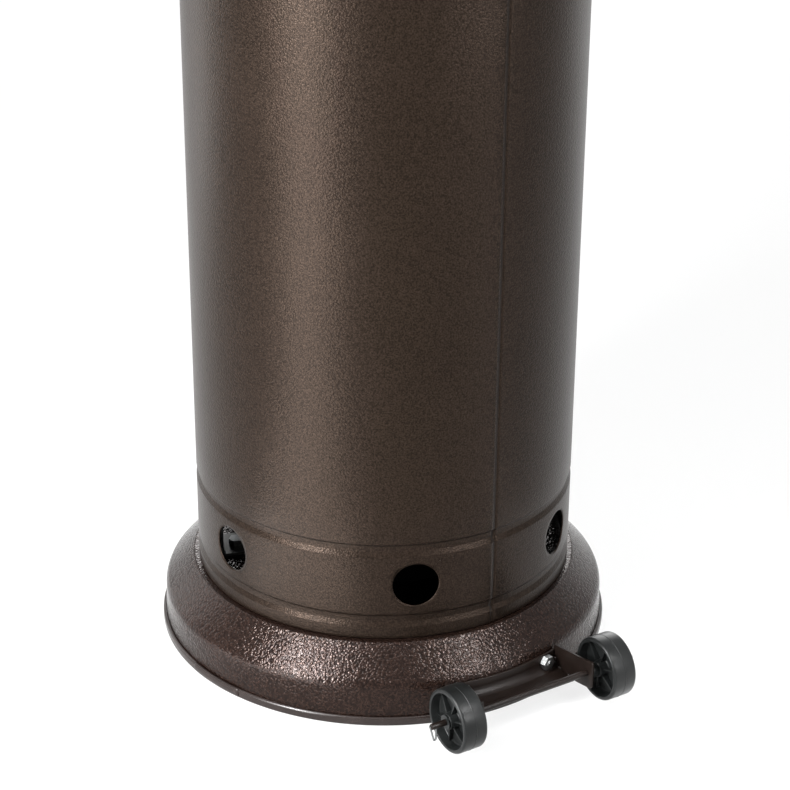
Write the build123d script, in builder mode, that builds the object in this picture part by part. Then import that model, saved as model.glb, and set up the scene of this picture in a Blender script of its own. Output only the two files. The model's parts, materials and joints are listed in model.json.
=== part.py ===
from build123d import *

import os
from math import atan2, cos, degrees, radians, sin, sqrt

# A free-standing gas patio heater, in millimetres. The origin is the centre of the foot on the floor,
# +Z is up, the control knob faces -Y and the wheels are at the back, towards +Y.

os.makedirs("parts", exist_ok=True)

# Clearances shared by the pieces
running_gap = 0.05       # shaft in a bore that turns
easy_gap = 0.3           # pieces that pass each other without touching
seat_gap = 0.2           # pieces that rest on each other across a joint
bolt_gap = 0.4           # bolt in its hole

# Housing: rolled sheet with two grooves and a row of vent holes
housing_radius = 185.0
housing_sheet = 1.0
housing_height = 770.0
groove_depth = 1.5
groove_width = 13.1
groove_upper_flank = 1.8
groove_lower_flank = 2.8
lower_groove_rise = 19.5
upper_groove_rise = 94.0
groove_round = 1.2
vent_radius = 22.0
vent_rise = 57.3
vent_count = 6
vent_seam_angle = 30.0
vent_step_angle = 61.1
seam_angle = 92.2

# Base: pressed sheet with skirt, slope, ledge, neck and deck
base_sheet = 1.5
ledge_margin = 5.0
slope_run = 29.0
slope_rise = 29.4
skirt_lean = 1.0
skirt_rise = 8.0
break_height = 41.6
neck_gap = 2.0
neck_rise = 16.0
drain_radius = 20.0
break_round = 13.0
fold_round = 3.0

# Edge trim round the foot of the skirt
trim_overhang = 3.2
trim_height = 8.5
trim_inner_lip = 5.0
trim_floor = 1.8
trim_round = 1.8

# Wheel kit at the back
wheel_radius = 31.0
wheel_width = 25.0
wheel_floor_gap = 9.5
wheel_edge_round = 2.5
wheel_rim = 5.0
wheel_hub_radius = 7.5
wheel_recess = 9.0
wheel_ribs = 6
rib_thickness = 2.5
axle_radius = 3.0
axle_offset = 46.0
axle_overhang = 17.0
ear_spacing = 124.4
bracket_sheet = 2.5
wheel_ear_gap = 9.0
ear_nose = 8.0
ear_half_height = 14.5
ear_corner = 5.0
ear_root_gap = 1.0
shelf_height = 21.0
shelf_reach = 28.0
bracket_bolt_angle = 12.2
bracket_bolt_height = 31.5
washer_radius = 7.0
washer_thickness = 1.2
cotter_radius = 1.1
cotter_drop = 13.0
cotter_rise = 9.0
cotter_leg_gap = 6.0
cotter_bend_share = 0.4

# Metric fasteners
bolt_radius = 4.0
bolt_head_radius = 7.5
bolt_head_height = 5.3
nut_height = 6.5
bolt_tail = 3.5
screw_radius = 2.4
screw_head_radius = 4.5
screw_head_height = 2.6

# Support legs, post flange and post
leg_count = 3
leg_start_angle = -18.0
leg_width = 40.0
leg_thickness = 3.0
leg_housing_gap = 13.5
leg_foot_length = 38.0
leg_bend = 6.0
leg_knee_height = 565.0
leg_top_height = 645.0
flange_radius = 75.0
flange_thickness = 4.0
flange_bolt_circle = 56.0
leg_tab_length = 38.0
post_radius = 30.0
post_wall = 1.5
post_length = 950.0

# Lid of the housing, which slides on the post
lid_sheet = 1.2
lid_rise = 34.0
lid_crown_radius = 80.0
lid_skirt = 16.0
lid_overhang = 1.5
bush_wall = 6.0
bush_flange = 8.0
bush_flange_thickness = 3.0
bush_length = 30.0
lid_screw_count = 4
lid_screw_start_angle = 45.0

# Gas cylinder
cylinder_leg_gap = 14.0
cylinder_wall = 2.5
cylinder_lift = 22.0
cylinder_height = 336.0
cylinder_shoulder = 34.0
cylinder_shoulder_run = 40.0
cylinder_round = 30.0
boss_radius = 26.0
boss_height = 10.0
foot_ring_radius = 108.0
ring_sheet = 3.0
collar_radius = 100.0
collar_height = 104.0
collar_opening_angle = 120.0
collar_slot_height = 34.0
collar_slot_share = 0.62

# Cylinder valve, regulator and hose, on the side between two legs
gas_angle = leg_start_angle + 180 / leg_count
valve_thread_radius = 13.5
valve_body_radius = 17.0
valve_body_height = 44.0
valve_outlet_share = 0.6
valve_outlet_radius = 13.0
valve_outlet_reach = 46.0
valve_bonnet_radius = 12.0
valve_bonnet_height = 14.0
spindle_radius = 5.0
handwheel_radius = 31.0
handwheel_thickness = 16.0
handwheel_lobes = 6
lobe_offset_share = 1.15
lobe_radius_share = 0.3
spindle_share = 0.8
regulator_reach = 105.0
regulator_radius = 30.0
regulator_height = 40.0
regulator_cap_radius = 22.0
regulator_cap_height = 12.0
nipple_radius = 6.0
coupling_wall = 6.0
coupling_length = 30.0
coupling_ribs = 8
hose_radius = 6.0
hose_bore = 4.5
barb_share = 0.4
clamp_wall = 1.6
clamp_width = 9.0
fitting_radius = 13.0
fitting_height = 28.0
fitting_drop = 18.0
fitting_reach = 30.0
gas_tube_radius = 5.0
gas_tube_wall = 1.0

# Control head on top of the post
head_radius = 92.0
head_sheet = 1.5
head_grip = 36.0
head_cone_rise = 40.0
head_wall_height = 80.0
head_lip = 8.0
head_screw_count = 3
head_screw_start_angle = 30.0
bezel_half_width = 52.0
bezel_half_height = 30.0
bezel_front = 102.0
bezel_depth = 30.0
bezel_wall = 3.0
bezel_corner = 8.0
knob_x = -20.0
knob_radius = 23.0
knob_depth = 20.0
knob_bezel_gap = 7.0
knob_grip_width = 10.0
knob_grip_depth = 8.0
stem_radius = 4.0
stem_grip = 16.0
stem_inside = 32.0
stem_travel = 4.0
button_x = 30.0
button_radius = 8.0
button_proud = 7.0
button_travel = 5.0
button_head = 14.0
plunger_radius = 4.0
plunger_length = 23.0
igniter_radius = 11.0
igniter_length = 49.0
valve_block_width = 48.0
valve_block_height = 40.0
valve_block_back = 14.0
tilt_switch_size = 18.0
tilt_switch_height = 24.0

# Burner and emitter
deck_sheet = 2.0
deck_overhang = 8.0
orifice_radius = 7.0
orifice_height = 15.0
venturi_radius = 14.0
venturi_wall = 1.5
venturi_below = 16.0
venturi_above = 41.0
venturi_flange = 22.0
cup_radius = 60.0
cup_rise = 20.0
cup_rim = 12.0
cup_sheet = 1.5
cup_holes = 24
cup_hole_radius = 2.5
cup_hole_shares = (0.35, 0.6, 0.85)
pilot_offset = 75.0
pilot_radius = 4.5
pilot_foot_radius = 7.2
pilot_height = 46.0
probe_spacing = 14.0
probe_radius = 2.0
probe_height = 54.0
electrode_radius = 4.0
electrode_height = 28.0
electrode_wire = 1.0
electrode_tip = 22.0
screen_radius = 97.0
screen_wall = 1.2
screen_height = 303.0
emitter_cap_rim = 14.0
emitter_cap_sheet = 1.5
emitter_screw_count = 3
emitter_screw_start_angle = 90.0

# Reflector
reflector_radius = 404.0
reflector_sheet = 1.2
reflector_flat = 75.0
reflector_drop = 124.0
reflector_bead = 3.5
stud_radius = 3.0
stud_circle = 60.0
stud_count = 3
stud_start_angle = 30.0
stud_head_height = 3.0
spacer_radius = 6.0
spacer_height = 176.0
cap_nut_radius = 6.5
cap_nut_height = 12.0
cap_nut_hex_share = 0.6
cap_nut_dome_share = 0.8

# Sizes that follow from the ones above
ledge_radius = housing_radius + ledge_margin
break_radius = ledge_radius + slope_run
skirt_radius = break_radius + skirt_lean
trim_radius = skirt_radius + trim_overhang
ledge_height = break_height + slope_rise
deck_height = ledge_height + neck_rise
housing_inner = housing_radius - housing_sheet
groove_inner = housing_inner - groove_depth
neck_radius = groove_inner - neck_gap
housing_bottom = ledge_height + seat_gap
housing_top = housing_bottom + housing_height
vent_height = housing_bottom + vent_rise
leg_radius = groove_inner - leg_housing_gap
cylinder_radius = leg_radius - leg_thickness - cylinder_leg_gap
cylinder_bottom = deck_height + cylinder_lift
cylinder_top = cylinder_bottom + cylinder_height
leg_bolt_circle = leg_radius - leg_foot_length / 2
leg_angles = [leg_start_angle + 360 / leg_count * i for i in range(leg_count)]
axle_y = break_radius + axle_offset
axle_z = wheel_radius + wheel_floor_gap
ear_x = ear_spacing / 2
ear_outside = ear_x + bracket_sheet / 2
wheel_inside = ear_x + wheel_ear_gap
wheel_outside = wheel_inside + wheel_width
axle_end = wheel_outside + axle_overhang
cotter_x = (wheel_outside + washer_thickness + axle_end) / 2
flange_top = leg_top_height + flange_thickness
post_top = flange_top + post_length
head_bottom = post_top - head_grip
head_wall_bottom = post_top + head_cone_rise
head_top = head_wall_bottom + head_wall_height
control_height = head_wall_bottom + head_wall_height / 2
bezel_inside = bezel_front - bezel_wall
valve_block_top = control_height + valve_block_height / 2
valve_block_bottom = control_height - valve_block_height / 2
deck_top = head_top + deck_sheet
screen_top = deck_top + screen_height
emitter_top = screen_top + emitter_cap_sheet
reflector_top = emitter_top + spacer_height + reflector_sheet
boss_top = cylinder_top + boss_height
valve_body_top = boss_top + valve_body_height
bonnet_top = valve_body_top + valve_bonnet_height
outlet_height = boss_top + valve_body_height * valve_outlet_share
skirt_tilt = atan2(skirt_lean, break_height - skirt_rise)


def radial_plane(angle):
    """Upright plane through the axis: local x is the radius and local y the height."""
    turn = radians(angle)
    return Plane(origin=(0, 0, 0), x_dir=(cos(turn), sin(turn), 0), z_dir=(sin(turn), -cos(turn), 0))


def facing_plane(angle, radius, height):
    """Plane that faces outwards from the axis at an angle, a radius and a height."""
    turn = radians(angle)
    out = Vector(cos(turn), sin(turn), 0)
    return Plane(origin=out * radius + Vector(0, 0, height), x_dir=(-sin(turn), cos(turn), 0), z_dir=out)


def upright_plane(angle, radius, height):
    """Level plane at an angle and a radius, with local x pointing outwards."""
    turn = radians(angle)
    out = Vector(cos(turn), sin(turn), 0)
    return Plane(origin=out * radius + Vector(0, 0, height), x_dir=out, z_dir=(0, 0, 1))


def skirt_radius_at(height):
    """Outside radius of the leaning skirt at a height."""
    return skirt_radius - (height - skirt_rise) * skirt_lean / (break_height - skirt_rise)


def skirt_plane(angle, height):
    """Plane that lies on the skirt's outside at an angle and a height."""
    turn = radians(angle)
    normal = (cos(skirt_tilt) * cos(turn), cos(skirt_tilt) * sin(turn), sin(skirt_tilt))
    radius = skirt_radius_at(height)
    origin = (radius * cos(turn), radius * sin(turn), height)
    return Plane(origin=origin, x_dir=(-sin(turn), cos(turn), 0), z_dir=normal)


def sheet_profile(points, rounds, sheet, side, plane=Plane.XZ):
    """Closed outline of a folded sheet whose one face follows the points."""
    with BuildSketch(plane) as outline:
        with BuildLine():
            FilletPolyline(*points, radius=rounds)
            offset(amount=sheet, side=side)
        make_face()
    return outline.sketch


def ring(plane, outer, inner, height, mode=Mode.ADD):
    """Round ring that stands on a plane."""
    with BuildSketch(plane) as outline:
        Circle(outer)
        Circle(inner, mode=Mode.SUBTRACT)
    extrude(outline.sketch, amount=height, mode=mode)


def disc(plane, radius, height, mode=Mode.ADD):
    """Round disc or rod that stands on a plane."""
    with BuildSketch(plane) as outline:
        Circle(radius)
    extrude(outline.sketch, amount=height, mode=mode)


def hexagon(plane, radius, height):
    """Hexagonal prism that stands on a plane."""
    with BuildSketch(plane) as outline:
        RegularPolygon(radius, 6)
    extrude(outline.sketch, amount=height)


def screw(plane, reach):
    """Pan head on a plane, with a shank that reaches back through the sheets."""
    disc(plane, screw_head_radius, screw_head_height)
    disc(plane, screw_radius, -reach)


# Base
with BuildPart() as base_pan:
    profile = sheet_profile(
        [
            (skirt_radius, trim_floor + seat_gap),
            (skirt_radius, skirt_rise),
            (break_radius, break_height),
            (ledge_radius, ledge_height),
            (neck_radius, ledge_height),
            (neck_radius, deck_height),
            (drain_radius, deck_height),
        ],
        [fold_round, break_round, fold_round, fold_round, fold_round],
        base_sheet,
        Side.LEFT,
    )
    revolve(profile, axis=Axis.Z)
    for angle in leg_angles:
        top = upright_plane(angle, leg_bolt_circle, deck_height)
        disc(top, bolt_radius + bolt_gap, -2 * base_sheet, Mode.SUBTRACT)
    for angle in (90 - bracket_bolt_angle, 90 + bracket_bolt_angle):
        face = skirt_plane(angle, bracket_bolt_height).offset(base_sheet)
        disc(face, bolt_radius + bolt_gap, -3 * base_sheet, Mode.SUBTRACT)
base_pan.part.label = "base_pan"
export_step(base_pan.part, "parts/base_pan.step")

with BuildPart() as base_edge_trim:
    slot_outer = skirt_radius + easy_gap
    slot_inner = skirt_radius - base_sheet - easy_gap
    with BuildSketch(Plane.XZ):
        with BuildLine():
            Polyline(
                (trim_radius, 0),
                (trim_radius, trim_height),
                (slot_outer, trim_height),
                (slot_outer, trim_floor),
                (slot_inner, trim_floor),
                (slot_inner, trim_height),
                (slot_inner - trim_inner_lip, trim_height),
                (slot_inner - trim_inner_lip, 0),
                close=True,
            )
        outline = make_face()
        fillet(outline.vertices().group_by(Axis.X)[-1].sort_by(Axis.Y)[-1:], trim_round)
    revolve(axis=Axis.Z)
base_edge_trim.part.label = "base_edge_trim"
export_step(base_edge_trim.part, "parts/base_edge_trim.step")

# Wheel bracket: a plate on the skirt, a low shelf and two ears that carry the axle
plate_inside = easy_gap
plate_top = break_height - fold_round
plate_half_angle = degrees(atan2(ear_outside, axle_y - axle_offset))
ear_root_x = ear_x - bracket_sheet / 2

with BuildPart() as wheel_bracket:
    with BuildSketch(radial_plane(90 - plate_half_angle)):
        with BuildLine():
            Polyline(
                (skirt_radius_at(shelf_height) + plate_inside, shelf_height),
                (skirt_radius_at(shelf_height) + plate_inside + bracket_sheet, shelf_height),
                (skirt_radius_at(plate_top) + plate_inside + bracket_sheet, plate_top),
                (skirt_radius_at(plate_top) + plate_inside, plate_top),
                close=True,
            )
        make_face()
    revolve(axis=Axis.Z, revolution_arc=2 * plate_half_angle)
    with BuildSketch(Plane.XY.offset(shelf_height)):
        with Locations((0, (break_radius + shelf_reach) / 2)):
            Rectangle(2 * ear_outside, break_radius + shelf_reach)
        Circle(skirt_radius_at(shelf_height) + plate_inside, mode=Mode.SUBTRACT)
    extrude(amount=bracket_sheet)
    for side in (-1, 1):
        with BuildSketch(Plane.YZ.offset(side * ear_x)):
            with BuildLine():
                Polyline(
                    (sqrt(skirt_radius_at(shelf_height) ** 2 - ear_root_x**2) + ear_root_gap, shelf_height),
                    (break_radius + shelf_reach, shelf_height),
                    (axle_y + ear_nose, axle_z - ear_half_height),
                    (axle_y + ear_nose, axle_z + ear_half_height),
                    (sqrt(break_radius**2 - ear_root_x**2) + ear_root_gap, break_height),
                    close=True,
                )
            make_face()
        extrude(amount=bracket_sheet / 2, both=True)
    fillet(wheel_bracket.edges().filter_by(Axis.X).group_by(Axis.Y)[-1], ear_corner)
    with BuildSketch(Plane.YZ):
        with Locations((axle_y, axle_z)):
            Circle(axle_radius + running_gap)
    extrude(amount=2 * ear_x, both=True, mode=Mode.SUBTRACT)
    for angle in (90 - bracket_bolt_angle, 90 + bracket_bolt_angle):
        face = skirt_plane(angle, bracket_bolt_height)
        disc(face, bolt_radius + bolt_gap, 3 * bracket_sheet, Mode.SUBTRACT)
wheel_bracket.part.label = "wheel_bracket"
export_step(wheel_bracket.part, "parts/wheel_bracket.step")

nut_seat = plate_inside + bracket_sheet + seat_gap
with BuildPart() as bracket_bolts:
    for angle in (90 - bracket_bolt_angle, 90 + bracket_bolt_angle):
        face = skirt_plane(angle, bracket_bolt_height)
        head = face.offset(-base_sheet - easy_gap)
        hexagon(head, bolt_head_radius, -bolt_head_height)
        disc(head, bolt_radius, base_sheet + easy_gap + nut_seat + nut_height + bolt_tail)
bracket_bolts.part.label = "bracket_bolts"
export_step(bracket_bolts.part, "parts/bracket_bolts.step")

with BuildPart() as bracket_nuts:
    for angle in (90 - bracket_bolt_angle, 90 + bracket_bolt_angle):
        seat = skirt_plane(angle, bracket_bolt_height).offset(nut_seat)
        hexagon(seat, bolt_head_radius, nut_height)
        disc(seat, bolt_radius + running_gap, nut_height, Mode.SUBTRACT)
bracket_nuts.part.label = "bracket_nuts"
export_step(bracket_nuts.part, "parts/bracket_nuts.step")

# Axle with its spacers, washers and pins. Lengths run along X from the middle.
axle_plane = Plane(origin=(0, axle_y, axle_z), x_dir=(0, 1, 0), z_dir=(1, 0, 0))

with BuildPart() as wheel_axle:
    with BuildSketch(axle_plane):
        Circle(axle_radius)
    extrude(amount=axle_end, both=True)
    chamfer(wheel_axle.faces().filter_by(Axis.X).edges(), axle_radius / 4)
    for side in (-1, 1):
        with BuildSketch(Plane(origin=(side * cotter_x, axle_y, axle_z), z_dir=(0, 0, 1))):
            Circle(cotter_radius + running_gap)
        extrude(amount=2 * axle_radius, both=True, mode=Mode.SUBTRACT)
wheel_axle.part.label = "wheel_axle"
export_step(wheel_axle.part, "parts/wheel_axle.step")

with BuildPart() as axle_spacers:
    for side in (-1, 1):
        length = wheel_inside - ear_outside - 2 * seat_gap
        face = axle_plane.offset(side * (ear_outside + seat_gap))
        ring(face, washer_radius, axle_radius + running_gap, side * length)
axle_spacers.part.label = "axle_spacers"
export_step(axle_spacers.part, "parts/axle_spacers.step")

with BuildPart() as axle_washers:
    for side in (-1, 1):
        face = axle_plane.offset(side * (wheel_outside + seat_gap))
        ring(face, washer_radius, axle_radius + running_gap, side * washer_thickness)
axle_washers.part.label = "axle_washers"
export_step(axle_washers.part, "parts/axle_washers.step")

with BuildPart() as cotter_pins:
    for side in (-1, 1):
        with BuildLine():
            FilletPolyline(
                (side * cotter_x, axle_y, axle_z - cotter_drop),
                (side * cotter_x, axle_y, axle_z + cotter_rise),
                (side * cotter_x, axle_y + cotter_leg_gap, axle_z + cotter_rise),
                (side * cotter_x, axle_y + cotter_leg_gap, axle_z - cotter_drop / 2),
                radius=cotter_leg_gap * cotter_bend_share,
            )
        start = Plane(origin=(side * cotter_x, axle_y, axle_z - cotter_drop), z_dir=(0, 0, 1))
        with BuildSketch(start):
            Circle(cotter_radius)
        sweep()
cotter_pins.part.label = "cotter_pins"
export_step(cotter_pins.part, "parts/cotter_pins.step")

# Wheels: a tread ring, a web with ribs in both recesses, and a hub
for name, side in (("wheel_left", -1), ("wheel_right", 1)):
    middle = axle_plane.offset(side * (wheel_inside + wheel_width / 2))
    with BuildPart() as wheel:
        with BuildSketch(middle):
            Circle(wheel_radius)
        extrude(amount=wheel_width / 2, both=True)
        fillet(wheel.faces().filter_by(Axis.X).edges(), wheel_edge_round)
        for face in (-1, 1):
            outside = middle.offset(face * wheel_width / 2)
            ring(outside, wheel_radius - wheel_rim, wheel_hub_radius, -face * wheel_recess, Mode.SUBTRACT)
            with BuildSketch(outside):
                with PolarLocations((wheel_radius - wheel_rim + wheel_hub_radius) / 2, wheel_ribs):
                    Rectangle(wheel_radius - wheel_rim - wheel_hub_radius + rib_thickness, rib_thickness)
            extrude(amount=-face * (wheel_recess + rib_thickness))
        disc(outside, axle_radius + running_gap, -2 * wheel_width, Mode.SUBTRACT)
        disc(outside, axle_radius + running_gap, 2 * wheel_width, Mode.SUBTRACT)
    wheel.part.label = name
    export_step(wheel.part, f"parts/{name}.step")

# Support legs: one strap each, bent into a foot, an upright, a slope and a tab under the flange
for number, angle in enumerate(leg_angles, start=1):
    with BuildPart() as leg:
        profile = sheet_profile(
            [
                (leg_radius - leg_foot_length, deck_height),
                (leg_radius, deck_height),
                (leg_radius, leg_knee_height),
                (flange_radius, leg_top_height),
                (flange_radius - leg_tab_length, leg_top_height),
            ],
            [leg_bend, leg_bend, leg_bend],
            leg_thickness,
            Side.LEFT,
            radial_plane(angle),
        )
        extrude(profile, amount=leg_width / 2, both=True)
        foot = upright_plane(angle, leg_bolt_circle, deck_height)
        disc(foot, bolt_radius + bolt_gap, 2 * leg_thickness, Mode.SUBTRACT)
        tab = upright_plane(angle, flange_bolt_circle, leg_top_height)
        disc(tab, bolt_radius + bolt_gap, -2 * leg_thickness, Mode.SUBTRACT)
    leg.part.label = f"support_leg_{number}"
    export_step(leg.part, f"parts/support_leg_{number}.step")

with BuildPart() as leg_foot_bolts:
    for angle in leg_angles:
        head = upright_plane(angle, leg_bolt_circle, deck_height + leg_thickness)
        hexagon(head, bolt_head_radius, bolt_head_height)
        disc(head, bolt_radius, -(leg_thickness + base_sheet + nut_height + bolt_tail))
leg_foot_bolts.part.label = "leg_foot_bolts"
export_step(leg_foot_bolts.part, "parts/leg_foot_bolts.step")

with BuildPart() as leg_foot_nuts:
    for angle in leg_angles:
        seat = upright_plane(angle, leg_bolt_circle, deck_height - base_sheet)
        hexagon(seat, bolt_head_radius, -nut_height)
        disc(seat, bolt_radius + running_gap, -nut_height, Mode.SUBTRACT)
leg_foot_nuts.part.label = "leg_foot_nuts"
export_step(leg_foot_nuts.part, "parts/leg_foot_nuts.step")

# Post and its flange
tube_hole = gas_tube_radius + bolt_gap
with BuildPart() as post_flange:
    disc(Plane.XY.offset(leg_top_height), flange_radius, flange_thickness)
    disc(Plane.XY.offset(leg_top_height), tube_hole, flange_thickness, Mode.SUBTRACT)
    for angle in leg_angles:
        face = upright_plane(angle, flange_bolt_circle, leg_top_height)
        disc(face, bolt_radius + bolt_gap, flange_thickness, Mode.SUBTRACT)
post_flange.part.label = "post_flange"
export_step(post_flange.part, "parts/post_flange.step")

with BuildPart() as flange_bolts:
    for angle in leg_angles:
        head = upright_plane(angle, flange_bolt_circle, flange_top)
        hexagon(head, bolt_head_radius, bolt_head_height)
        disc(head, bolt_radius, -(flange_thickness + leg_thickness + nut_height + bolt_tail))
flange_bolts.part.label = "flange_bolts"
export_step(flange_bolts.part, "parts/flange_bolts.step")

with BuildPart() as flange_nuts:
    for angle in leg_angles:
        seat = upright_plane(angle, flange_bolt_circle, leg_top_height - leg_thickness)
        hexagon(seat, bolt_head_radius, -nut_height)
        disc(seat, bolt_radius + running_gap, -nut_height, Mode.SUBTRACT)
flange_nuts.part.label = "flange_nuts"
export_step(flange_nuts.part, "parts/flange_nuts.step")

head_screw_height = head_bottom + head_grip / 2
head_screw_angles = [head_screw_start_angle + 360 / head_screw_count * i for i in range(head_screw_count)]
with BuildPart() as post:
    ring(Plane.XY.offset(flange_top), post_radius, post_radius - post_wall, post_length)
    for angle in head_screw_angles:
        face = facing_plane(angle, 0, head_screw_height)
        disc(face, screw_radius + running_gap, 2 * post_radius, Mode.SUBTRACT)
post.part.label = "post"
export_step(post.part, "parts/post.step")

# Housing
def groove_points(height):
    """Outside points of one shallow rolled groove, from bottom to top."""
    floor_radius = housing_radius - groove_depth
    return [
        (housing_radius, height - groove_width / 2),
        (floor_radius, height - groove_width / 2 + groove_lower_flank),
        (floor_radius, height + groove_width / 2 - groove_upper_flank),
        (housing_radius, height + groove_width / 2),
    ]


lid_screw_height = housing_top - lid_skirt / 2
lid_screw_angles = [lid_screw_start_angle + 360 / lid_screw_count * i for i in range(lid_screw_count)]

with BuildPart() as housing_shell:
    outline = [(housing_radius, housing_bottom)]
    outline += groove_points(housing_bottom + lower_groove_rise)
    outline += groove_points(housing_bottom + upper_groove_rise)
    outline += [(housing_radius, housing_top)]
    profile = sheet_profile(outline, groove_round, housing_sheet, Side.LEFT)
    revolve(profile, axis=Axis.Z)
    for index in range(vent_count):
        angle = seam_angle + vent_seam_angle + vent_step_angle * index
        face = facing_plane(angle, groove_inner - neck_gap, vent_height)
        disc(face, vent_radius, 2 * neck_gap + 3 * groove_depth, Mode.SUBTRACT)
    for angle in lid_screw_angles:
        face = facing_plane(angle, neck_radius, lid_screw_height)
        disc(face, screw_radius + running_gap, 2 * neck_gap + 3 * groove_depth, Mode.SUBTRACT)
housing_shell.part.label = "housing_shell"
export_step(housing_shell.part, "parts/housing_shell.step")

lid_skirt_radius = housing_inner - easy_gap
bush_bore = post_radius + easy_gap
bush_radius = bush_bore + bush_wall
lid_top = housing_top + seat_gap + lid_sheet + lid_rise

with BuildPart() as housing_cap:
    profile = sheet_profile(
        [
            (housing_radius + lid_overhang, housing_top + seat_gap),
            (housing_radius + lid_overhang, housing_top + seat_gap + lid_overhang + lid_sheet),
            (lid_crown_radius, lid_top),
            (bush_radius + easy_gap, lid_top),
        ],
        [lid_overhang, lid_rise],
        lid_sheet,
        Side.LEFT,
    )
    revolve(profile, axis=Axis.Z)
    rim_base = Plane.XY.offset(housing_top + seat_gap)
    ring(rim_base, housing_radius + lid_overhang, lid_skirt_radius - lid_sheet, lid_sheet)
    ring(rim_base, lid_skirt_radius, lid_skirt_radius - lid_sheet, -lid_skirt)
    for angle in lid_screw_angles:
        face = facing_plane(angle, neck_radius, lid_screw_height)
        disc(face, screw_radius + running_gap, 2 * neck_gap + 3 * groove_depth, Mode.SUBTRACT)
housing_cap.part.label = "housing_cap"
export_step(housing_cap.part, "parts/housing_cap.step")

with BuildPart() as housing_bush:
    ring(Plane.XY.offset(lid_top), bush_radius + bush_flange, bush_bore, bush_flange_thickness)
    ring(Plane.XY.offset(lid_top), bush_radius, bush_bore, -bush_length)
    fillet(housing_bush.edges().group_by(Axis.Z)[-1].sort_by(SortBy.RADIUS)[-1:], bush_flange_thickness / 2)
housing_bush.part.label = "housing_bush"
export_step(housing_bush.part, "parts/housing_bush.step")

with BuildPart() as cap_screws:
    for angle in lid_screw_angles:
        face = facing_plane(angle, housing_radius, lid_screw_height)
        screw(face, housing_radius - lid_skirt_radius + 2 * lid_sheet)
cap_screws.part.label = "cap_screws"
export_step(cap_screws.part, "parts/cap_screws.step")

# Gas cylinder, standing on the deck between the legs
with BuildPart() as gas_cylinder:
    flat = cylinder_radius - cylinder_shoulder_run
    profile = sheet_profile(
        [
            (0, cylinder_bottom),
            (flat, cylinder_bottom),
            (cylinder_radius, cylinder_bottom + cylinder_shoulder),
            (cylinder_radius, cylinder_top - cylinder_shoulder),
            (flat, cylinder_top),
            (boss_radius - cylinder_wall, cylinder_top),
        ],
        [cylinder_round, cylinder_round, cylinder_round, cylinder_round],
        cylinder_wall,
        Side.LEFT,
    )
    revolve(profile, axis=Axis.Z)
    boss_bore = valve_thread_radius + running_gap
    ring(Plane.XY.offset(boss_top), boss_radius, boss_bore, -boss_height - cylinder_wall)
gas_cylinder.part.label = "gas_cylinder"
export_step(gas_cylinder.part, "parts/gas_cylinder.step")

with BuildPart() as cylinder_foot_ring:
    foot_base = Plane.XY.offset(deck_height)
    ring(foot_base, foot_ring_radius, foot_ring_radius - ring_sheet, cylinder_lift)
    ring(foot_base, foot_ring_radius, foot_ring_radius - 3 * ring_sheet, ring_sheet)
cylinder_foot_ring.part.label = "cylinder_foot_ring"
export_step(cylinder_foot_ring.part, "parts/cylinder_foot_ring.step")

with BuildPart() as cylinder_collar:
    with BuildSketch(radial_plane(gas_angle + collar_opening_angle / 2)):
        with Locations((collar_radius - ring_sheet / 2, cylinder_top + collar_height / 2)):
            Rectangle(ring_sheet, collar_height)
    revolve(axis=Axis.Z, revolution_arc=360 - collar_opening_angle)
    slot_height = cylinder_top + collar_height * collar_slot_share
    for angle in (gas_angle + collar_opening_angle, gas_angle - collar_opening_angle):
        face = facing_plane(angle, collar_radius - 4 * ring_sheet, slot_height)
        with BuildSketch(face):
            SlotOverall(2 * collar_slot_height, collar_slot_height)
        extrude(amount=8 * ring_sheet, mode=Mode.SUBTRACT)
cylinder_collar.part.label = "cylinder_collar"
export_step(cylinder_collar.part, "parts/cylinder_collar.step")

with BuildPart() as cylinder_valve:
    disc(Plane.XY.offset(boss_top), valve_thread_radius, -boss_height)
    disc(Plane.XY.offset(boss_top), valve_body_radius, valve_body_height)
    disc(Plane.XY.offset(valve_body_top), valve_bonnet_radius, valve_bonnet_height)
    disc(facing_plane(gas_angle, 0, outlet_height), valve_outlet_radius, valve_outlet_reach)
    disc(Plane.XY.offset(bonnet_top), spindle_radius + running_gap, -valve_bonnet_height, Mode.SUBTRACT)
    outlet_face = facing_plane(gas_angle, valve_outlet_reach, outlet_height)
    disc(outlet_face, nipple_radius + easy_gap, -valve_body_radius, Mode.SUBTRACT)
cylinder_valve.part.label = "cylinder_valve"
export_step(cylinder_valve.part, "parts/cylinder_valve.step")

wheel_seat = bonnet_top + seat_gap
with BuildPart() as valve_handwheel:
    disc(Plane.XY.offset(wheel_seat), handwheel_radius, handwheel_thickness)
    with BuildSketch(Plane.XY.offset(wheel_seat)):
        with PolarLocations(handwheel_radius * lobe_offset_share, handwheel_lobes):
            Circle(handwheel_radius * lobe_radius_share)
    extrude(amount=handwheel_thickness, mode=Mode.SUBTRACT)
    fillet(valve_handwheel.faces().sort_by(Axis.Z)[-1].edges(), ring_sheet)
    disc(Plane.XY.offset(wheel_seat), spindle_radius, -valve_bonnet_height * spindle_share)
valve_handwheel.part.label = "valve_handwheel"
export_step(valve_handwheel.part, "parts/valve_handwheel.step")

# Regulator on the valve's outlet, with the hose up to the post
regulator_base = outlet_height - regulator_height / 2
regulator_top = outlet_height + regulator_height / 2
regulator_inlet = regulator_reach - regulator_radius
regulator_outlet = regulator_top + regulator_cap_height
nipple_end = valve_outlet_reach - valve_body_radius / 2
hose_height = leg_top_height - fitting_drop
hose_start = fitting_reach + seat_gap
hose_end = regulator_outlet + seat_gap
hose_run = regulator_reach - hose_start
hose_rise = hose_height - hose_end
hose_straight = clamp_width + hose_radius
hose_bend = min(hose_run, hose_rise) - hose_straight

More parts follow.
